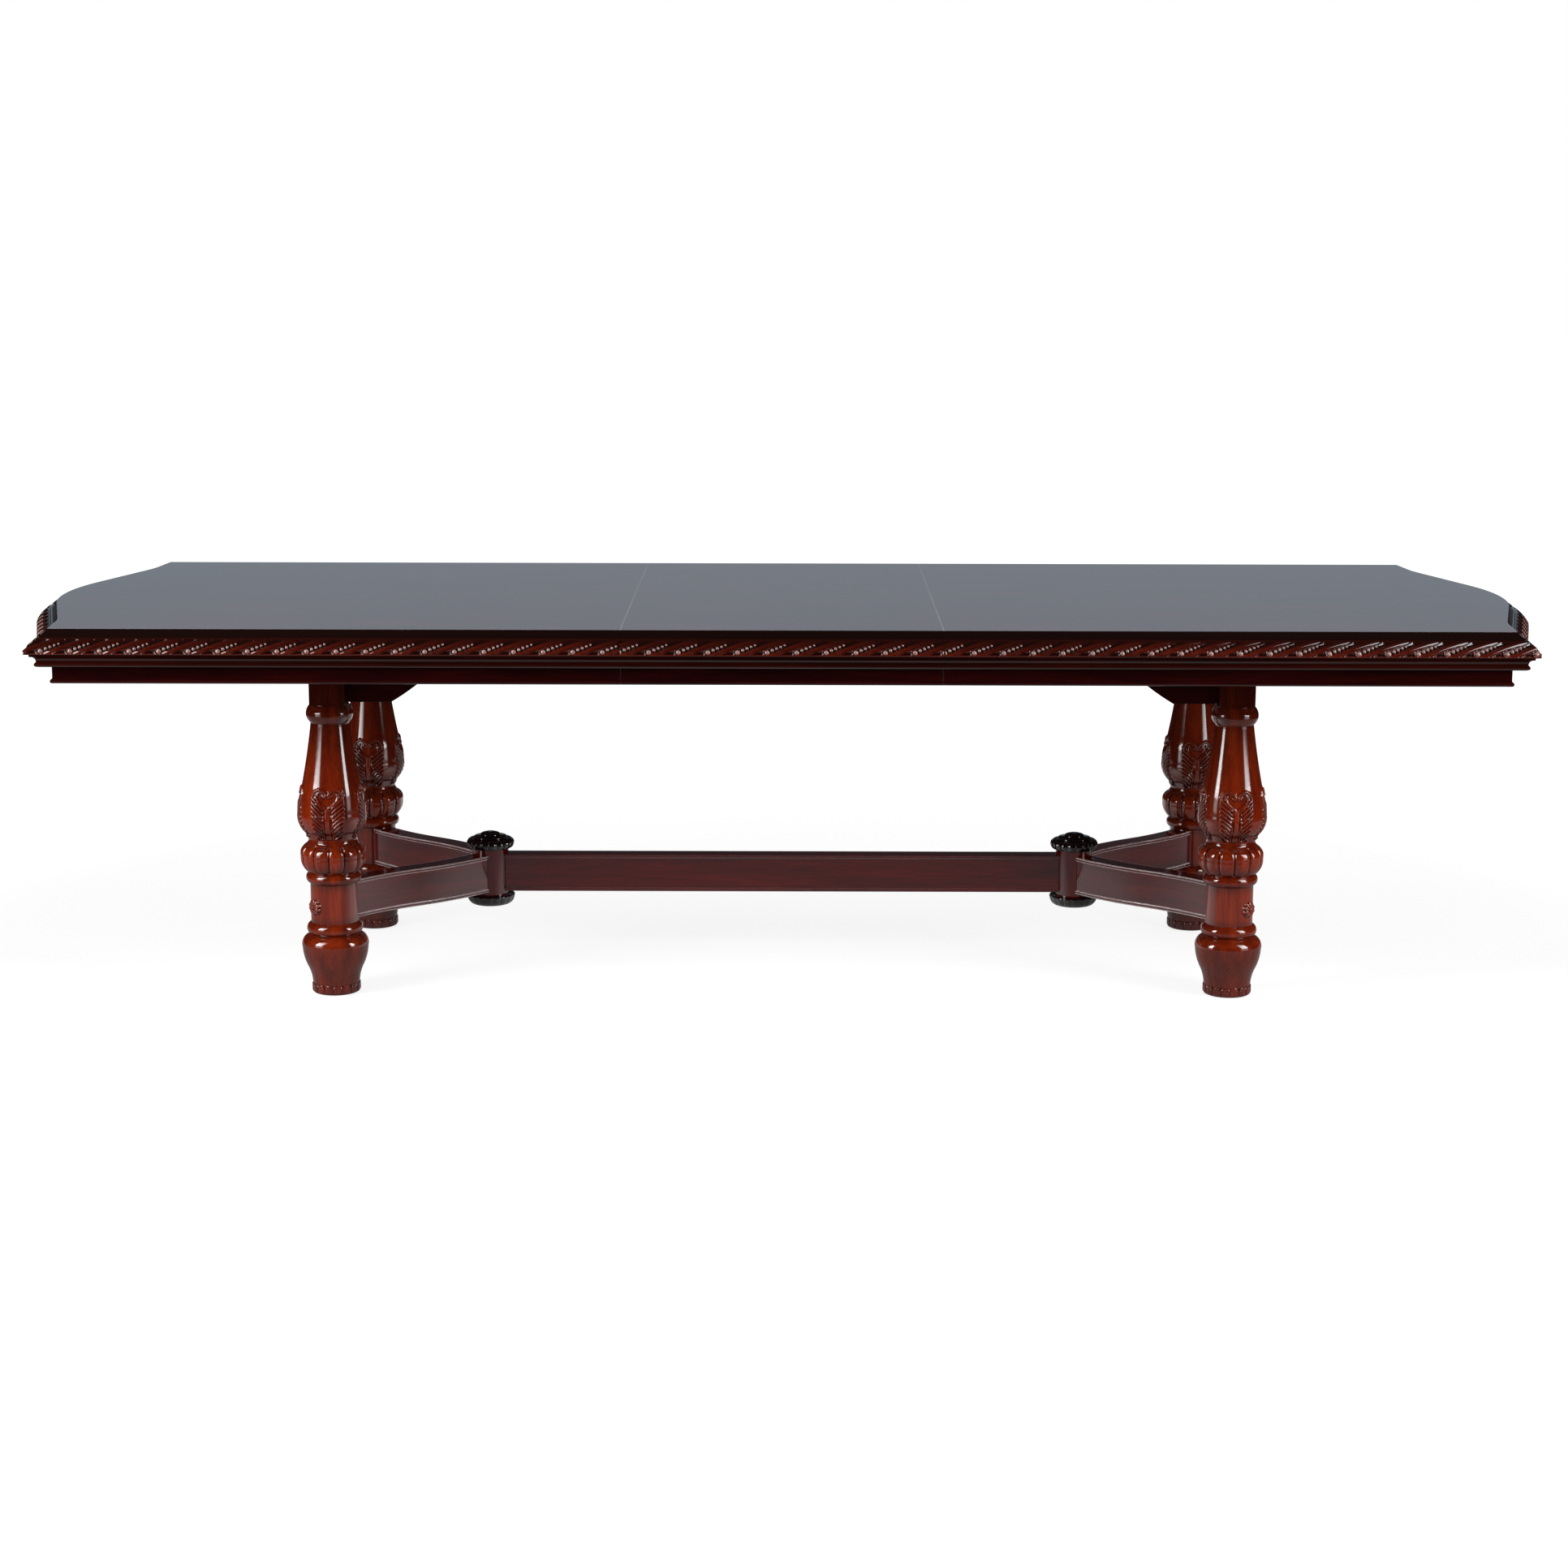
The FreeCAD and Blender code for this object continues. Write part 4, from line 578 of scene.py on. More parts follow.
def rope_relief(along, up):
    """Relief of the rope carving in mm below its crests, and the glaze in it."""
    centre = FIRST_PEARL + PEARL_LINE * (up - PEARL_HEIGHT)
    offset = np.mod(along - centre + ROPE_PITCH / 2, ROPE_PITCH) - ROPE_PITCH / 2
    across = offset * math.sin(math.atan(1 / PEARL_LINE))
    half = np.interp(up, (0.0, 8.0, 34.0), (6.2, 6.0, 3.2))
    crest = ROPE_PITCH / 2 * math.sin(math.atan(1 / PEARL_LINE))
    away = np.abs(across)
    lobe = -3.0 * np.clip((crest - away) / (crest - half), 0, 1) ** 1.8
    inside = smooth(half - away, -0.7, 0.9)
    relief = lobe * (1 - inside) - 4.2 * inside
    hollow = inside
    # Thin leaf blade along the upper side of the pearls, and the scroll that holds the largest pearl.
    blade = np.exp(-((across + half + 1.3) / 0.9) ** 2)
    relief += 1.6 * blade
    vein = np.exp(-((across + half + 3.1) / 0.8) ** 2)
    relief -= 1.3 * vein
    hollow = np.maximum(hollow, vein * 0.8)
    east = np.mod(along - FIRST_PEARL + ROPE_PITCH / 2, ROPE_PITCH) - ROPE_PITCH / 2
    north = up - PEARL_HEIGHT
    ring = np.exp(-((np.hypot(east, north) - 7.3) / 1.4) ** 2) * smooth(-east - 1.4 * north, -1.0, 6.0)
    relief = relief * (1 - ring) - 0.2 * ring
    hollow = hollow * (1 - ring)
    edge = smooth(up, -0.5, 2.2) * smooth(ROPE_HEIGHT - up, -0.5, 2.0)
    line = np.exp(-((up - ROPE_HEIGHT - 0.6) / 0.7) ** 2)
    return np.minimum(relief * edge - 0.8 * line, 0.0), np.maximum(hollow * edge, line * 0.7)


def small_ball(centre, radius, glaze=0.0):
    """A pearl: an icosphere of 80 faces, whose glaze value below zero paints it paler as a highlight."""
    ball = bmesh.new()
    bmesh.ops.create_icosphere(ball, subdivisions=2, radius=radius)
    verts = [tuple(np.array(vert.co) + centre) for vert in ball.verts]
    faces = [[vert.index for vert in face.verts] for face in ball.faces]
    ball.free()
    return verts, faces, [glaze] * len(verts)


def rope_tile():
    """One repeat of the edge moulding, straight along X from zero to the pitch of the rope."""
    rope = sampled(NOSE_SECTION, lambda low, high: 1.45)
    section = sampled(BAND_SECTION, lambda low, high: 1.6)[:-1]
    rope_from = len(section)
    section += rope
    rope_to = len(section)
    section += sampled(FOOT_SECTION, lambda low, high: 2.6)[1:]
    section += [point[:2] for point in BACK_SECTION[1:-1]]
    section = np.array(section)
    nose = section[rope_from:rope_to]
    steps = np.hypot(*np.diff(nose, axis=0).T)
    up = np.concatenate((np.cumsum(steps[::-1])[::-1], [0.0]))
    heading = np.gradient(nose, axis=0)
    heading /= np.hypot(*heading.T)[:, None]
    outward = np.stack((-heading[:, 1], heading[:, 0]), axis=1)
    xs = np.linspace(0.0, ROPE_PITCH, ROPE_COLUMNS + 1)
    relief, hollow = rope_relief(xs[None, :], up[:, None])
    points = np.zeros((len(section), len(xs), 3))
    points[:, :, 0] = xs
    points[:, :, 1] = section[:, :1]
    points[:, :, 2] = section[:, 1:]
    points[rope_from:rope_to, :, 1] += relief * outward[:, :1]
    points[rope_from:rope_to, :, 2] += relief * outward[:, 1:]
    glazes_and_painted_light = np.full(points.shape[:2], FLAT_GLAZE)
    # Painted shade: the lobes darken from the bottom of the rope to its top.
    glazes_and_painted_light[rope_from:rope_to] = np.maximum(hollow, np.interp(up, (0.0, ROPE_HEIGHT), LOBE_GLAZE_AND_SHADE)[:, None])
    glazes_and_painted_light[rope_to:] = FOOT_GLAZE
    around = np.concatenate((points, points[:1]))
    glazes_and_painted_light = np.concatenate((glazes_and_painted_light, glazes_and_painted_light[:1]))
    parts = [mesh_from_grid(around[::-1], glazes_and_painted_light[::-1], False, caps=False)]
    for shift, radius in PEARLS:
        level = PEARL_HEIGHT + shift / PEARL_LINE
        at = np.array([np.interp(level, up[::-1], nose[::-1, axis]) for axis in (0, 1)])
        out = np.array([np.interp(level, up[::-1], outward[::-1, axis]) for axis in (0, 1)])
        place = at - out * (radius - 0.2)
        place[0] = min(place[0], NOSE_SECTION[-1][0] - radius - 0.1)
        centre = np.array((FIRST_PEARL + shift, place[0], place[1]))
        parts.append(small_ball(centre, radius, PEARL_PAINTED_HIGHLIGHT))
    return linked("rope_tile", joined_mesh("rope_tile", parts))


def new_geometry_tree(name, inputs):
    tree = bpy.data.node_groups.new(name, "GeometryNodeTree")
    tree.interface.new_socket("Geometry", in_out="INPUT", socket_type="NodeSocketGeometry")
    for label, kind in inputs:
        tree.interface.new_socket(label, in_out="INPUT", socket_type=kind)
    tree.interface.new_socket("Geometry", in_out="OUTPUT", socket_type="NodeSocketGeometry")
    return tree


def end_tree(tree, geometry, finish):
    """End a tree in real geometry of one material."""
    finished = output_of(tree, "GeometryNodeSetMaterial", "Geometry", {
        "Geometry": geometry, "Material": finish})
    add_node(tree, "NodeGroupOutput", {"Geometry": finished})


def carved_run_tree():
    """Repeat a straight tile of moulding and bend the row along a path."""
    tree = new_geometry_tree("carved_run", (
        ("Tile", "NodeSocketObject"), ("Path", "NodeSocketObject"), ("Count", "NodeSocketInt"),
        ("Pitch", "NodeSocketFloat"), ("Finish", "NodeSocketMaterial")))
    given = add_node(tree, "NodeGroupInput").outputs
    tile = output_of(tree, "GeometryNodeObjectInfo", "Geometry", {"Object": given["Tile"]})
    path = output_of(tree, "GeometryNodeObjectInfo", "Geometry", {"Object": given["Path"]})
    stride = output_of(tree, "ShaderNodeCombineXYZ", "Vector", {"X": given["Pitch"]})
    row = output_of(tree, "GeometryNodeMeshLine", "Mesh", {"Count": given["Count"], "Offset": stride},
                    mode="OFFSET")
    copies = output_of(tree, "GeometryNodeInstanceOnPoints", "Instances", {"Points": row, "Instance": tile})
    real = output_of(tree, "GeometryNodeRealizeInstances", "Geometry", {"Geometry": copies})
    joined = output_of(tree, "GeometryNodeMergeByDistance", "Geometry", {
        "Geometry": real, "Distance": TILE_MERGE * MM})
    here = output_of(tree, "GeometryNodeInputPosition", "Position")
    parts = add_node(tree, "ShaderNodeSeparateXYZ", {"Vector": here}).outputs
    along = add_node(tree, "GeometryNodeSampleCurve", {"Curves": path, "Length": parts["X"]},
                     mode="LENGTH").outputs
    sideways = vectors(tree, "NORMALIZE", vectors(tree, "CROSS_PRODUCT", along["Tangent"], (0.0, 0.0, 1.0)))
    reach = output_of(tree, "ShaderNodeVectorMath", "Vector", {0: sideways, "Scale": parts["Y"]},
                      operation="SCALE")
    raised = output_of(tree, "ShaderNodeCombineXYZ", "Vector", {"Z": parts["Z"]})
    there = vectors(tree, "ADD", vectors(tree, "ADD", along["Position"], reach), raised)
    bent = output_of(tree, "GeometryNodeSetPosition", "Geometry", {"Geometry": joined, "Position": there})
    end_tree(tree, bent, given["Finish"])
    return tree


def carved_ring_tree():
    """Set copies of a small carving on a level circle, each turned and tilted outwards."""
    tree = new_geometry_tree("carved_ring", (
        ("Carving", "NodeSocketObject"), ("Count", "NodeSocketInt"), ("Radius", "NodeSocketFloat"),
        ("Level", "NodeSocketFloat"), ("Tilt", "NodeSocketFloat"), ("Finish", "NodeSocketMaterial")))
    given = add_node(tree, "NodeGroupInput").outputs
    carving = output_of(tree, "GeometryNodeObjectInfo", "Geometry", {"Object": given["Carving"]})
    circle = output_of(tree, "GeometryNodeMeshCircle", "Mesh", {
        "Vertices": given["Count"], "Radius": given["Radius"]})
    index = output_of(tree, "GeometryNodeInputIndex", "Index")
    angle = maths(tree, "MULTIPLY", maths(tree, "DIVIDE", index, given["Count"]), 2 * math.pi)
    facing = output_of(tree, "ShaderNodeCombineXYZ", "Vector", {"Y": given["Tilt"], "Z": angle})
    copies = output_of(tree, "GeometryNodeInstanceOnPoints", "Instances", {
        "Points": circle, "Instance": carving, "Rotation": facing})
    raised = output_of(tree, "ShaderNodeCombineXYZ", "Vector", {"Z": given["Level"]})
    lifted = output_of(tree, "GeometryNodeTranslateInstances", "Instances", {
        "Instances": copies, "Translation": raised, "Local Space": False})
    real = output_of(tree, "GeometryNodeRealizeInstances", "Geometry", {"Geometry": lifted})
    end_tree(tree, real, given["Finish"])
    return tree


def grown(tree, values):
    """Plain mesh that a tree makes with the named inputs."""
    host = linked("host", bpy.data.meshes.new("host"))
    modifier = host.modifiers.new("grow", "NODES")
    modifier.node_group = tree
    for item in tree.interface.items_tree:
        if item.in_out == "INPUT" and item.name in values:
            modifier[item.identifier] = values[item.name]
    bpy.context.view_layer.update()
    evaluated = host.evaluated_get(bpy.context.evaluated_depsgraph_get())
    mesh = bpy.data.meshes.new_from_object(evaluated)
    host.modifiers.clear()
    bpy.data.objects.remove(host)
    return mesh


def bow_points(extension):
    """The bowed end of the right half, from its front corner to its back corner, in mm."""
    centre_x = BOW_X - BOW_RADIUS
    flank = np.array((centre_x + BOW_RADIUS * math.cos(BOW_SLOPE), BOW_RADIUS * math.sin(BOW_SLOPE)))
    slope, lean = math.tan(BOW_SLOPE), math.tan(SHOULDER_LEAN)
    bend_y = (flank[0] + flank[1] * slope - CORNER_X - EDGE_Y * lean) / (slope - lean)
    bend_x = CORNER_X + (EDGE_Y - bend_y) * lean
    back = BEND_RADIUS * math.tan((BOW_SLOPE - SHOULDER_LEAN) / 2)
    begin = np.array((bend_x + back * math.sin(BOW_SLOPE), bend_y - back * math.cos(BOW_SLOPE)))
    centre = begin + BEND_RADIUS * np.array((math.cos(BOW_SLOPE), math.sin(BOW_SLOPE)))
    half = [(centre_x + BOW_RADIUS * math.cos(angle), BOW_RADIUS * math.sin(angle))
            for angle in np.linspace(0.0, BOW_SLOPE, 48)]
    half += [tuple(flank + (begin - flank) * part) for part in np.linspace(0.0, 1.0, 12)[1:]]
    half += [(centre[0] - BEND_RADIUS * math.cos(angle), centre[1] - BEND_RADIUS * math.sin(angle))
             for angle in np.linspace(BOW_SLOPE, SHOULDER_LEAN, 14)[1:]]
    corner = np.array((CORNER_X - extension * math.sin(SHOULDER_LEAN),
                       EDGE_Y + extension * math.cos(SHOULDER_LEAN)))
    last = np.array(half[-1])
    half += [tuple(last + (corner - last) * part) for part in np.linspace(0.0, 1.0, 40)[1:]]
    return [(x, -y) for x, y in half[:0:-1]] + half


def path_object(points):
    """A level curve at the height of the top through points in mm."""
    curve = bpy.data.curves.new("edge_path", "CURVE")
    curve.dimensions = "3D"
    spline = curve.splines.new("POLY")
    spline.points.add(len(points) - 1)
    for point, (x, y) in zip(spline.points, points):
        point.co = (x * MM, y * MM, TABLE_HEIGHT * MM, 1.0)
    return linked("edge_path", curve)


def cut_and_close(mesh, planes):
    """Cut a run at its seams or mitres, keeping what lies behind each plane, and close the cuts.

    Glaze has settled along the square cuts at the seams.
    """
    run = bmesh.new()
    run.from_mesh(mesh)
    glaze = run.verts.layers.float["hollow"]
    for point, normal in planes:
        geometry = run.verts[:] + run.edges[:] + run.faces[:]
        bmesh.ops.bisect_plane(run, geom=geometry, dist=1e-7, plane_co=point, plane_no=normal,
                               clear_outer=True)
        open_edges = [edge for edge in run.edges if edge.is_boundary]
        near = [edge for edge in open_edges
                if all(abs((vert.co - Vector(point)).dot(Vector(normal))) < 1e-5 for vert in edge.verts)]
        bmesh.ops.holes_fill(run, edges=near, sides=0)
        if abs(normal[0]) > 0.99:
            for vert in {vert for edge in near for vert in edge.verts}:
                vert[glaze] = 1.0
    bmesh.ops.triangulate(run, faces=[face for face in run.faces if len(face.verts) > 4])
    bmesh.ops.recalc_face_normals(run, faces=run.faces[:])
    run.to_mesh(mesh)
    run.free()
    return mesh


def mitre_plane(side, keep_end):
    """Plane through a corner of the right half, with its normal away from the part that is kept."""
    corner = (CORNER_X * MM, side * EDGE_Y * MM, 0.0)
    along = Vector((math.cos(SHOULDER_LEAN), side * (1 + math.sin(SHOULDER_LEAN)), 0.0)).normalized()
    normal = Vector((along.y, -along.x, 0.0))
    if (normal.x > 0) == keep_end:
        normal = -normal
    return corner, tuple(normal)


def carved_mouldings():
    """Rope-carved edge moulding of both halves and of the leaf."""
    tile = rope_tile()
    tree = carved_run_tree()
    start = LEAF_EDGE - FIRST_PEARL

    def run(points, count, finish, planes):
        path = path_object(points)
        values = {"Tile": tile, "Path": path, "Count": count, "Pitch": ROPE_PITCH * MM, "Finish": finish}
        mesh = cut_and_close(grown(tree, values), planes)
        bpy.data.objects.remove(path)
        return mesh

    front_count = math.ceil((CORNER_X + SPARE_LENGTH - start) / ROPE_PITCH)
    front_end = start + front_count * ROPE_PITCH + 1.0
    seam = ((SEAM_X * MM, 0.0, 0.0), (-1.0, 0.0, 0.0))
    front = run([(start, -EDGE_Y), (front_end, -EDGE_Y)], front_count, rope_cherry_along,
                [seam, mitre_plane(-1, False)])
    back_start = LEAF_EDGE + ROPE_PITCH * front_count - FIRST_PEARL
    back = run([(back_start, EDGE_Y), (LEAF_EDGE - ROPE_PITCH, EDGE_Y)], front_count + 1,
               rope_cherry_along, [seam, mitre_plane(1, False)])
    bow = bow_points(SPARE_LENGTH)
    bow_length = sum(math.dist(a, b) for a, b in zip(bow, bow[1:]))
    bow_count = math.floor(bow_length / ROPE_PITCH)
    end = run(bow, bow_count, rope_cherry_across, [mitre_plane(-1, True), mitre_plane(1, True)])
    turned = Matrix.Rotation(math.pi, 4, "Z")

    def pair(mesh, finish, *pieces):
        """A moulding and its copy turned half round the middle of the table."""
        other = mesh.copy()
        other.transform(turned)
        for piece_mesh, (name, body, replaced) in zip((mesh, other), pieces):
            finish_piece(f"rope_moulding_{name}", piece_mesh, finish, body, replaced)

    for kind, mesh, opposite, finish in (("front", front, "back", rope_cherry_along),
                                         ("back", back, "front", rope_cherry_along),
                                         ("end", end, "end", rope_cherry_across)):
        pair(mesh, finish, *((f"{face}_{half}", f"{half}_top", f"edge_moulding_{face}_{half}")
                             for face, half in ((kind, "right"), (opposite, "left"))))
    leaf_start = -LEAF_EDGE - FIRST_PEARL
    ends = [((LEAF_EDGE * MM, 0.0, 0.0), (1.0, 0.0, 0.0)), ((-LEAF_EDGE * MM, 0.0, 0.0), (-1.0, 0.0, 0.0))]
    leaf = run([(leaf_start, -EDGE_Y), (leaf_start + LEAF_REPEATS * ROPE_PITCH + 1.0, -EDGE_Y)],
               LEAF_REPEATS, rope_cherry_along, ends)
    pair(leaf, rope_cherry_along,
         *((f"leaf_{face}", "leaf", f"leaf_moulding_{face}") for face in ("front", "back")))
    bpy.data.objects.remove(tile)


# Stepped domes over the hubs, discs under them and caps over the arm bolts.
HUB_CAP_SECTION = ((42.6, 0.0), (42.6, 20.4, -7.5), (34.6, 20.4), (30.7, 25.8, -2.0), (20.8, 26.5),
                   (14.9, 32.3, -1.7), (3.0, 34.0, -0.7))
HUB_FOOT_SECTION = ((36.6, 0.0), (49.5, 15.8, -3.5), (45.5, 22.0, -2.6))
HUB_COLUMNS = 192
ROSETTE_COLUMNS = 96
ROSETTE_SECTION = ((16.5, 0.0), (16.5, 5.85), (9.1, 9.75, -1.8), (6.3, 9.75), (1.3, 13.0, -1.3))


def swags(angle, height, radius):
    """Sixteen petals with curled edges round the rim of a hub cap."""
    lobe = np.abs(2 * np.mod(angle / (math.pi / 8), 1.0) - 1)
    rim = smooth(height, 1.0, 4.0) * smooth(20.0 - height, 0.0, 3.0)
    curl = np.exp(-((np.abs(lobe - 0.55)) / 0.12) ** 2)
    relief = rim * (-2.6 * lobe ** 3 - 0.9 * curl)
    return relief, rim * np.clip(np.maximum((lobe - 0.75) * 4, curl * 0.8), 0, 1) * 0.9


def disc_petals(angle, height, radius):
    """Shallow scallops round the disc under a hub."""
    lobe = np.abs(2 * np.mod(angle / (math.pi / 9), 1.0) - 1)
    band = smooth(height, 1.0, 4.0) * smooth(21.0 - height, 0.0, 3.0)
    return -1.5 * band * lobe ** 3, band * np.clip((lobe - 0.7) * 3, 0, 1) * 0.9


def rosette_ribs(angle, height, radius):
    """Ten ribs that run from the middle of a rosette cap to its edge, with glaze between them and a painted
    highlight on their crests.
    """
    lobe = np.abs(2 * np.mod(angle / (math.pi / 5), 1.0) - 1)
    dome = smooth(height, 0.5, 4.0) * smooth(radius, 2.0, 6.0)
    # Glaze lies between the ribs, and their crests are painted paler as a highlight.
    return -2.4 * dome * lobe ** 2.0, dome * (np.clip((lobe - 0.55) * 3.0, 0, 1) - 0.06 * (lobe < 0.5))


def flower():
    """A five-petalled flower about 9 mm across that faces along X."""
    parts = []
    for petal in range(5):
        turn = petal * 2 * math.pi / 5
        ball, faces, glazes_and_painted_light = small_ball(np.zeros(3), 1.0)
        verts = []
        for x, y, z in ball:
            y, z = 2.1 * y + 2.6, 1.7 * z
            verts.append((1.3 * x, y * math.cos(turn) - z * math.sin(turn),
                          y * math.sin(turn) + z * math.cos(turn)))
        parts.append((verts, faces, glazes_and_painted_light))
    parts.append(small_ball(np.array((0.8, 0.0, 0.0)), 1.3))
    return linked("flower", joined_mesh("flower", parts))


def mesh_part(mesh, shift):
    """A mesh as a part in mm, moved to its place."""
    verts = [tuple(np.array(vert.co) / MM + shift) for vert in mesh.vertices]
    faces = [list(face.vertices) for face in mesh.polygons]
    return verts, faces, [0.0] * len(verts)


def hub_carvings():
    """Carved domes and discs at the ends of the hubs."""
    tree = carved_ring_tree()
    blossom = flower()
    rim_flowers = grown(tree, {"Carving": blossom, "Count": 16, "Radius": 46.2 * MM, "Level": 10.5 * MM,
                               "Tilt": 0.0, "Finish": cap_cherry})
    foot_flowers = grown(tree, {"Carving": blossom, "Count": 18, "Radius": 45.6 * MM,
                                "Level": 9.5 * MM, "Tilt": 0.55, "Finish": cap_cherry})
    cap, cap_hollow = turned_grid(sampled(HUB_CAP_SECTION, lambda low, high: 1.2), HUB_COLUMNS, swags)
    foot, foot_hollow = turned_grid(sampled(HUB_FOOT_SECTION, lambda low, high: 1.4), HUB_COLUMNS,
                                    disc_petals)
    for side, name in ((-1, "left"), (1, "right")):
        top = np.array((side * HUB_X, 0.0, HUB_TOP))
        low = np.array((side * HUB_X, 0.0, HUB_FOOT_BASE))
        for kind, grid, glaze, flowers, place in (("cap", cap, cap_hollow, rim_flowers, top),
                                                  ("foot", foot, foot_hollow, foot_flowers, low)):
            mesh = joined_mesh(f"carved_hub_{kind}_{name}", [
                mesh_from_grid(grid + place, glaze, True), mesh_part(flowers, place)])
            finish_piece(mesh.name, mesh, cap_cherry, "base", f"hub_{kind}_{name}")
    bpy.data.objects.remove(blossom)


def rosettes():
    """Ribbed caps on the outer sides of the barrels."""
    grid, hollow = turned_grid(sampled(ROSETTE_SECTION, lambda low, high: 0.9), ROSETTE_COLUMNS,
                               rosette_ribs)
    parts = []
    for side_x, side_y, _ in SIDES:
        outward = Vector((side_x * (LEG_X - HUB_X), side_y * LEG_Y, 0.0)).normalized()
        turned = np.array(outward.to_track_quat("Z", "Y").to_matrix())
        seat = np.array((side_x * LEG_X, side_y * LEG_Y, CAP_HEIGHT))
        seat += np.array(outward) * (BARREL_RADIUS - CAP_SEAT_DEPTH)
        parts.append(mesh_from_grid(grid @ turned.T + seat, hollow, True))
    finish_piece("ribbed_rosette_caps", joined_mesh("ribbed_rosette_caps", parts), leg_cherry, "base",
                 "rosette_caps")


def dress_cad_nodes():
    """Give each CAD node the material of the real piece."""
    finishes = (
        (("top_panel", "leaf_panel"), top_cherry),
        (("arm_front_left", "arm_back_right"), rising_arm_cherry),
        (("arm_back_left", "arm_front_right"), falling_arm_cherry),
        (("arm_bolts", "beam_bolts", "leg_bolts", "rack_", "pinion_axle"), steel),
        (("pinion_bridge", "cross_rail", "rail_tie", "panel_cleats", "leaf_cleats"), poplar_across),
        (("fixed_rail", "slide_rails", "alignment_pins"), poplar_along),
        (("pinion",), steel),
        (("foot_glides",), nylon),
        (("centre_beam",), beam_cherry),
        (("hub_cap", "hub_foot"), cap_cherry),
        (("hub_",), hub_cherry),
        (("apron_end",), apron_cherry_across),
        (("apron", "leaf_apron", "bearers"), apron_cherry_along),
        (("edge_moulding_end",), rope_cherry_across),
        (("edge_moulding", "leaf_moulding"), rope_cherry_along),
        (("leg_", "rosette_caps"), leg_cherry),
    )
    for name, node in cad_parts.items():
        material = next(finish for starts, finish in finishes if name.startswith(starts))
        for slot in node.material_slots:
            slot.material = material


# Camera, floor and light

GRID_HALF_ANGLE = math.radians(40.0)
DARK_ROOM = "#1C1C1E"
FLOOR_REACH = 30.0


def camera():
    """The photographer's place, 6.1 m in front of the table and 1.52 m up."""
    yaw, pitch, roll = math.radians(-0.1036), math.radians(10.626), math.radians(0.1222)
    ahead = Vector((math.sin(yaw) * math.cos(pitch), math.cos(yaw) * math.cos(pitch), -math.sin(pitch)))
    right = Vector((math.cos(yaw), -math.sin(yaw), 0.0))
    above = right.cross(ahead)
    across = right * math.cos(roll) + above * math.sin(roll)
    upward = above * math.cos(roll) - right * math.sin(roll)
    data = bpy.data.cameras.new("camera")
    data.sensor_width = 36.0
    data.lens = 68.04
    data.clip_end = 100.0
    view = linked("camera", data)
    turn = Matrix((across, upward, -ahead)).transposed().to_4x4()
    view.matrix_world = Matrix.Translation((0.01454, -6.10679, 1.51989)) @ turn
    bpy.context.scene.camera = view


def soft_box(name, place, target, size, radiance):
    """A soft box with a grid: a rectangular lamp of a given brightness that throws a cone on a target."""
    data = bpy.data.lights.new(name, "AREA")
    data.shape = "RECTANGLE"
    data.size, data.size_y = size
    data.spread = 2 * GRID_HALF_ANGLE
    gain = math.tan(GRID_HALF_ANGLE) / (math.tan(GRID_HALF_ANGLE) - GRID_HALF_ANGLE)
    data.energy = radiance * math.pi * size[0] * size[1] / gain
    lamp = linked(name, data)
    heading = (Vector(target) - Vector(place)).to_track_quat("-Z", "Y")
    lamp.matrix_world = Matrix.Translation(place) @ heading.to_matrix().to_4x4()


def studio_floor():
    """Pale sheet that the camera sees white, with a faint shadow, and that glows for the lacquer as laid out
    here.

    For glossy rays it glows, a painted reflection: white under the middle of the table and behind it, grey
    close in front and dark beyond.
    """
    material, tree, place = new_material("pale_studio_floor")
    path = add_node(tree, "ShaderNodeLightPath").outputs
    glossy = path["Is Glossy Ray"]
    # Glossy rays see the paint dark, and see only the painted reflection glow.
    paint = output_of(tree, "ShaderNodeBsdfDiffuse", "BSDF", {
        "Color": mixed(tree, glossy, rgb("#808080"), rgb(DARK_ROOM))})
    # Painted reflection: for glossy rays alone the sheet glows white under the middle of the table and
    # behind it, grey close in front.
    depth = output_of(tree, "ShaderNodeSeparateXYZ", "Y", {"Vector": place})
    from_middle = vectors(tree, "LENGTH", place, output="Value")
    behind = ranged(tree, depth, -0.1, 1.3, 0.0, 0.9)
    near = ranged(tree, depth, -1.9, -1.3, 0.0, 0.32)
    middle = ranged(tree, from_middle, 0.9, 0.3, 0.0, 0.9)
    laid = maths(tree, "MAXIMUM", maths(tree, "MAXIMUM", behind, near), middle)
    sheet = maths(tree, "MULTIPLY", laid, ranged(tree, from_middle, 3.0, 2.2))
    painted_reflection_glow = maths(tree, "MULTIPLY", glossy, sheet)
    # To the camera the sheet turns white away from the table, and keeps a faint shadow near it.
    paper = ranged(tree, from_middle, 1.8, 3.6, 0.84)
    direct = maths(tree, "MAXIMUM", path["Is Camera Ray"], path["Is Transmission Ray"])
    shown = maths(tree, "MAXIMUM", maths(tree, "MULTIPLY", direct, paper), painted_reflection_glow)
    lift = output_of(tree, "ShaderNodeEmission", "Emission", {"Color": rgb("#FFFFFF"), "Strength": shown})
    lifted = output_of(tree, "ShaderNodeAddShader", "Shader", {0: paint, 1: lift})
    add_node(tree, "ShaderNodeOutputMaterial", {"Surface": lifted})
    mesh = bpy.data.meshes.new("floor")
    mesh.from_pydata([(side_x * FLOOR_REACH, side_y * FLOOR_REACH, 0.0)
                      for side_x, side_y in ((-1, -1), (1, -1), (1, 1), (-1, 1))], [], [(0, 1, 2, 3)])
    mesh.materials.append(material)
    linked("floor", mesh)


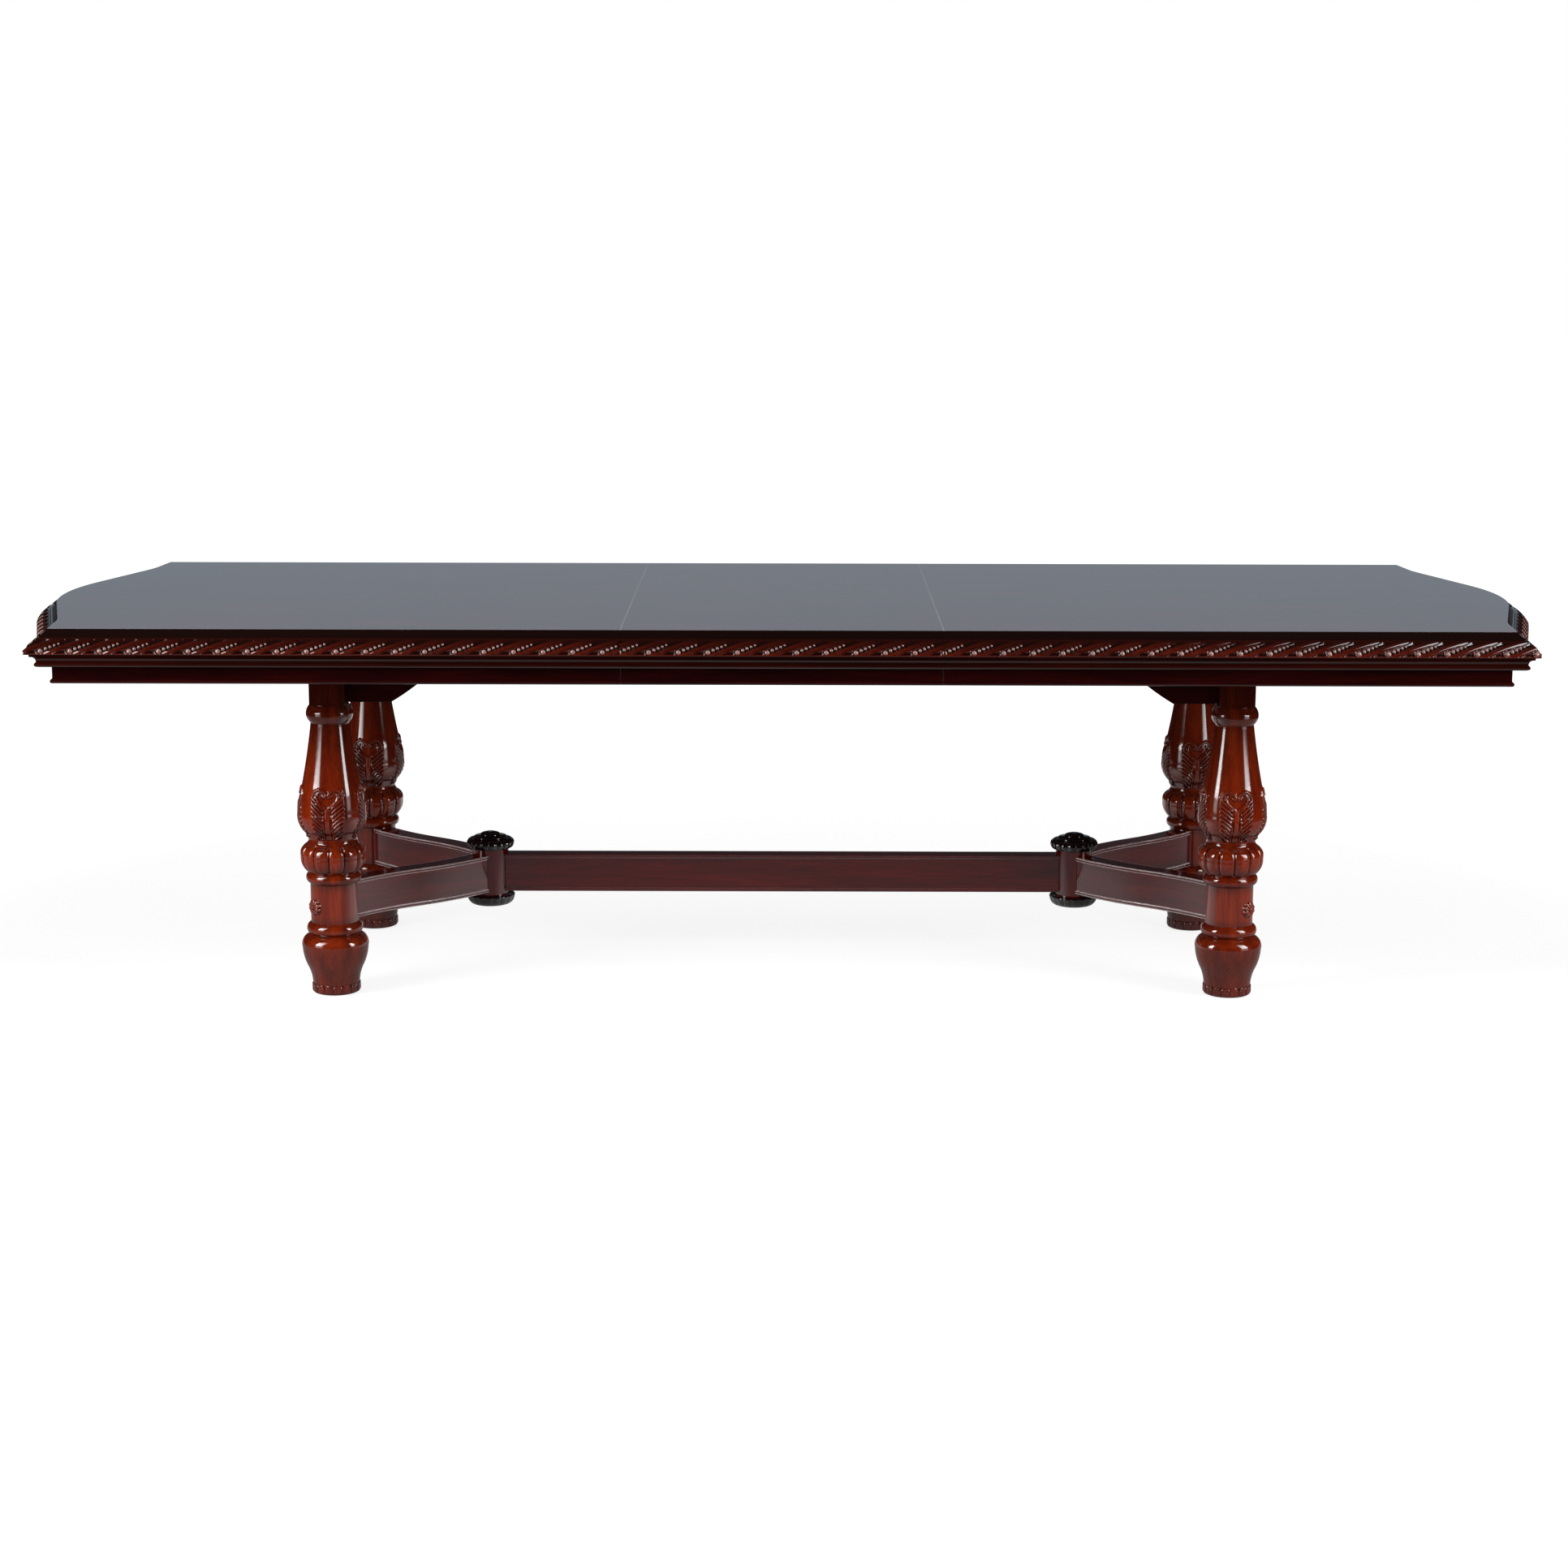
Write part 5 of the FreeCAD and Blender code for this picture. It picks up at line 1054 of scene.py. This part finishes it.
def photographers_room():
    """White for the camera, plain light for the wood, and a grey wall in a dark room for the lacquer."""
    world = bpy.data.worlds.new("photographers_room")
    world.use_nodes = True
    bpy.context.scene.world = world
    room = world.node_tree
    room.nodes.clear()
    heading = output_of(room, "ShaderNodeTexCoord", "Generated")
    parts = add_node(room, "ShaderNodeSeparateXYZ", {"Vector": heading}).outputs
    # The wall stands behind the table, up to about 10 degrees and 17 degrees to each side.
    level = ranged(room, parts["Z"], 0.0, 0.25)
    wall = colour_stops(room, level, ((0.62, "#95A1AC"), (0.80, DARK_ROOM)))
    walls = mixed(room, ranged(room, parts["Y"], 0.93, 0.957), rgb(DARK_ROOM), wall)
    seen = add_node(room, "ShaderNodeLightPath").outputs
    around = mixed(room, seen["Is Glossy Ray"], rgb("#E1E1E1"), walls)
    dim = output_of(room, "ShaderNodeBackground", "Background", {"Color": around, "Strength": 1.0})
    white = output_of(room, "ShaderNodeBackground", "Background", {
        "Color": rgb("#FFFFFF"), "Strength": 1.0})
    clear = maths(room, "MAXIMUM", seen["Is Camera Ray"], seen["Is Transmission Ray"])
    either = output_of(room, "ShaderNodeMixShader", "Shader", {0: clear, 1: dim, 2: white})
    add_node(room, "ShaderNodeOutputWorld", {"Surface": either})


def lamps():
    """Two tall soft boxes in front of the ends, with a dim panel under each."""
    soft_box("left_soft_box", (-2.15, -1.35, 1.45), (-0.30, -0.60, 0.52), (0.9, 1.7), 22.0)
    soft_box("right_soft_box", (2.15, -1.35, 1.45), (0.30, -0.60, 0.52), (0.8, 1.7), 19.0)
    soft_box("left_low_panel", (-2.15, -1.35, 0.32), (-0.38, -0.41, 0.3), (0.8, 0.5), 3.5)
    soft_box("right_low_panel", (2.15, -1.35, 0.32), (0.38, -0.41, 0.3), (0.8, 0.5), 3.0)


camera()
studio_floor()
photographers_room()
lamps()
carved_legs()
carved_mouldings()
hub_carvings()
rosettes()
dress_cad_nodes()

settings = bpy.context.scene.view_settings
settings.view_transform = "Standard"
bpy.context.view_layer.update()
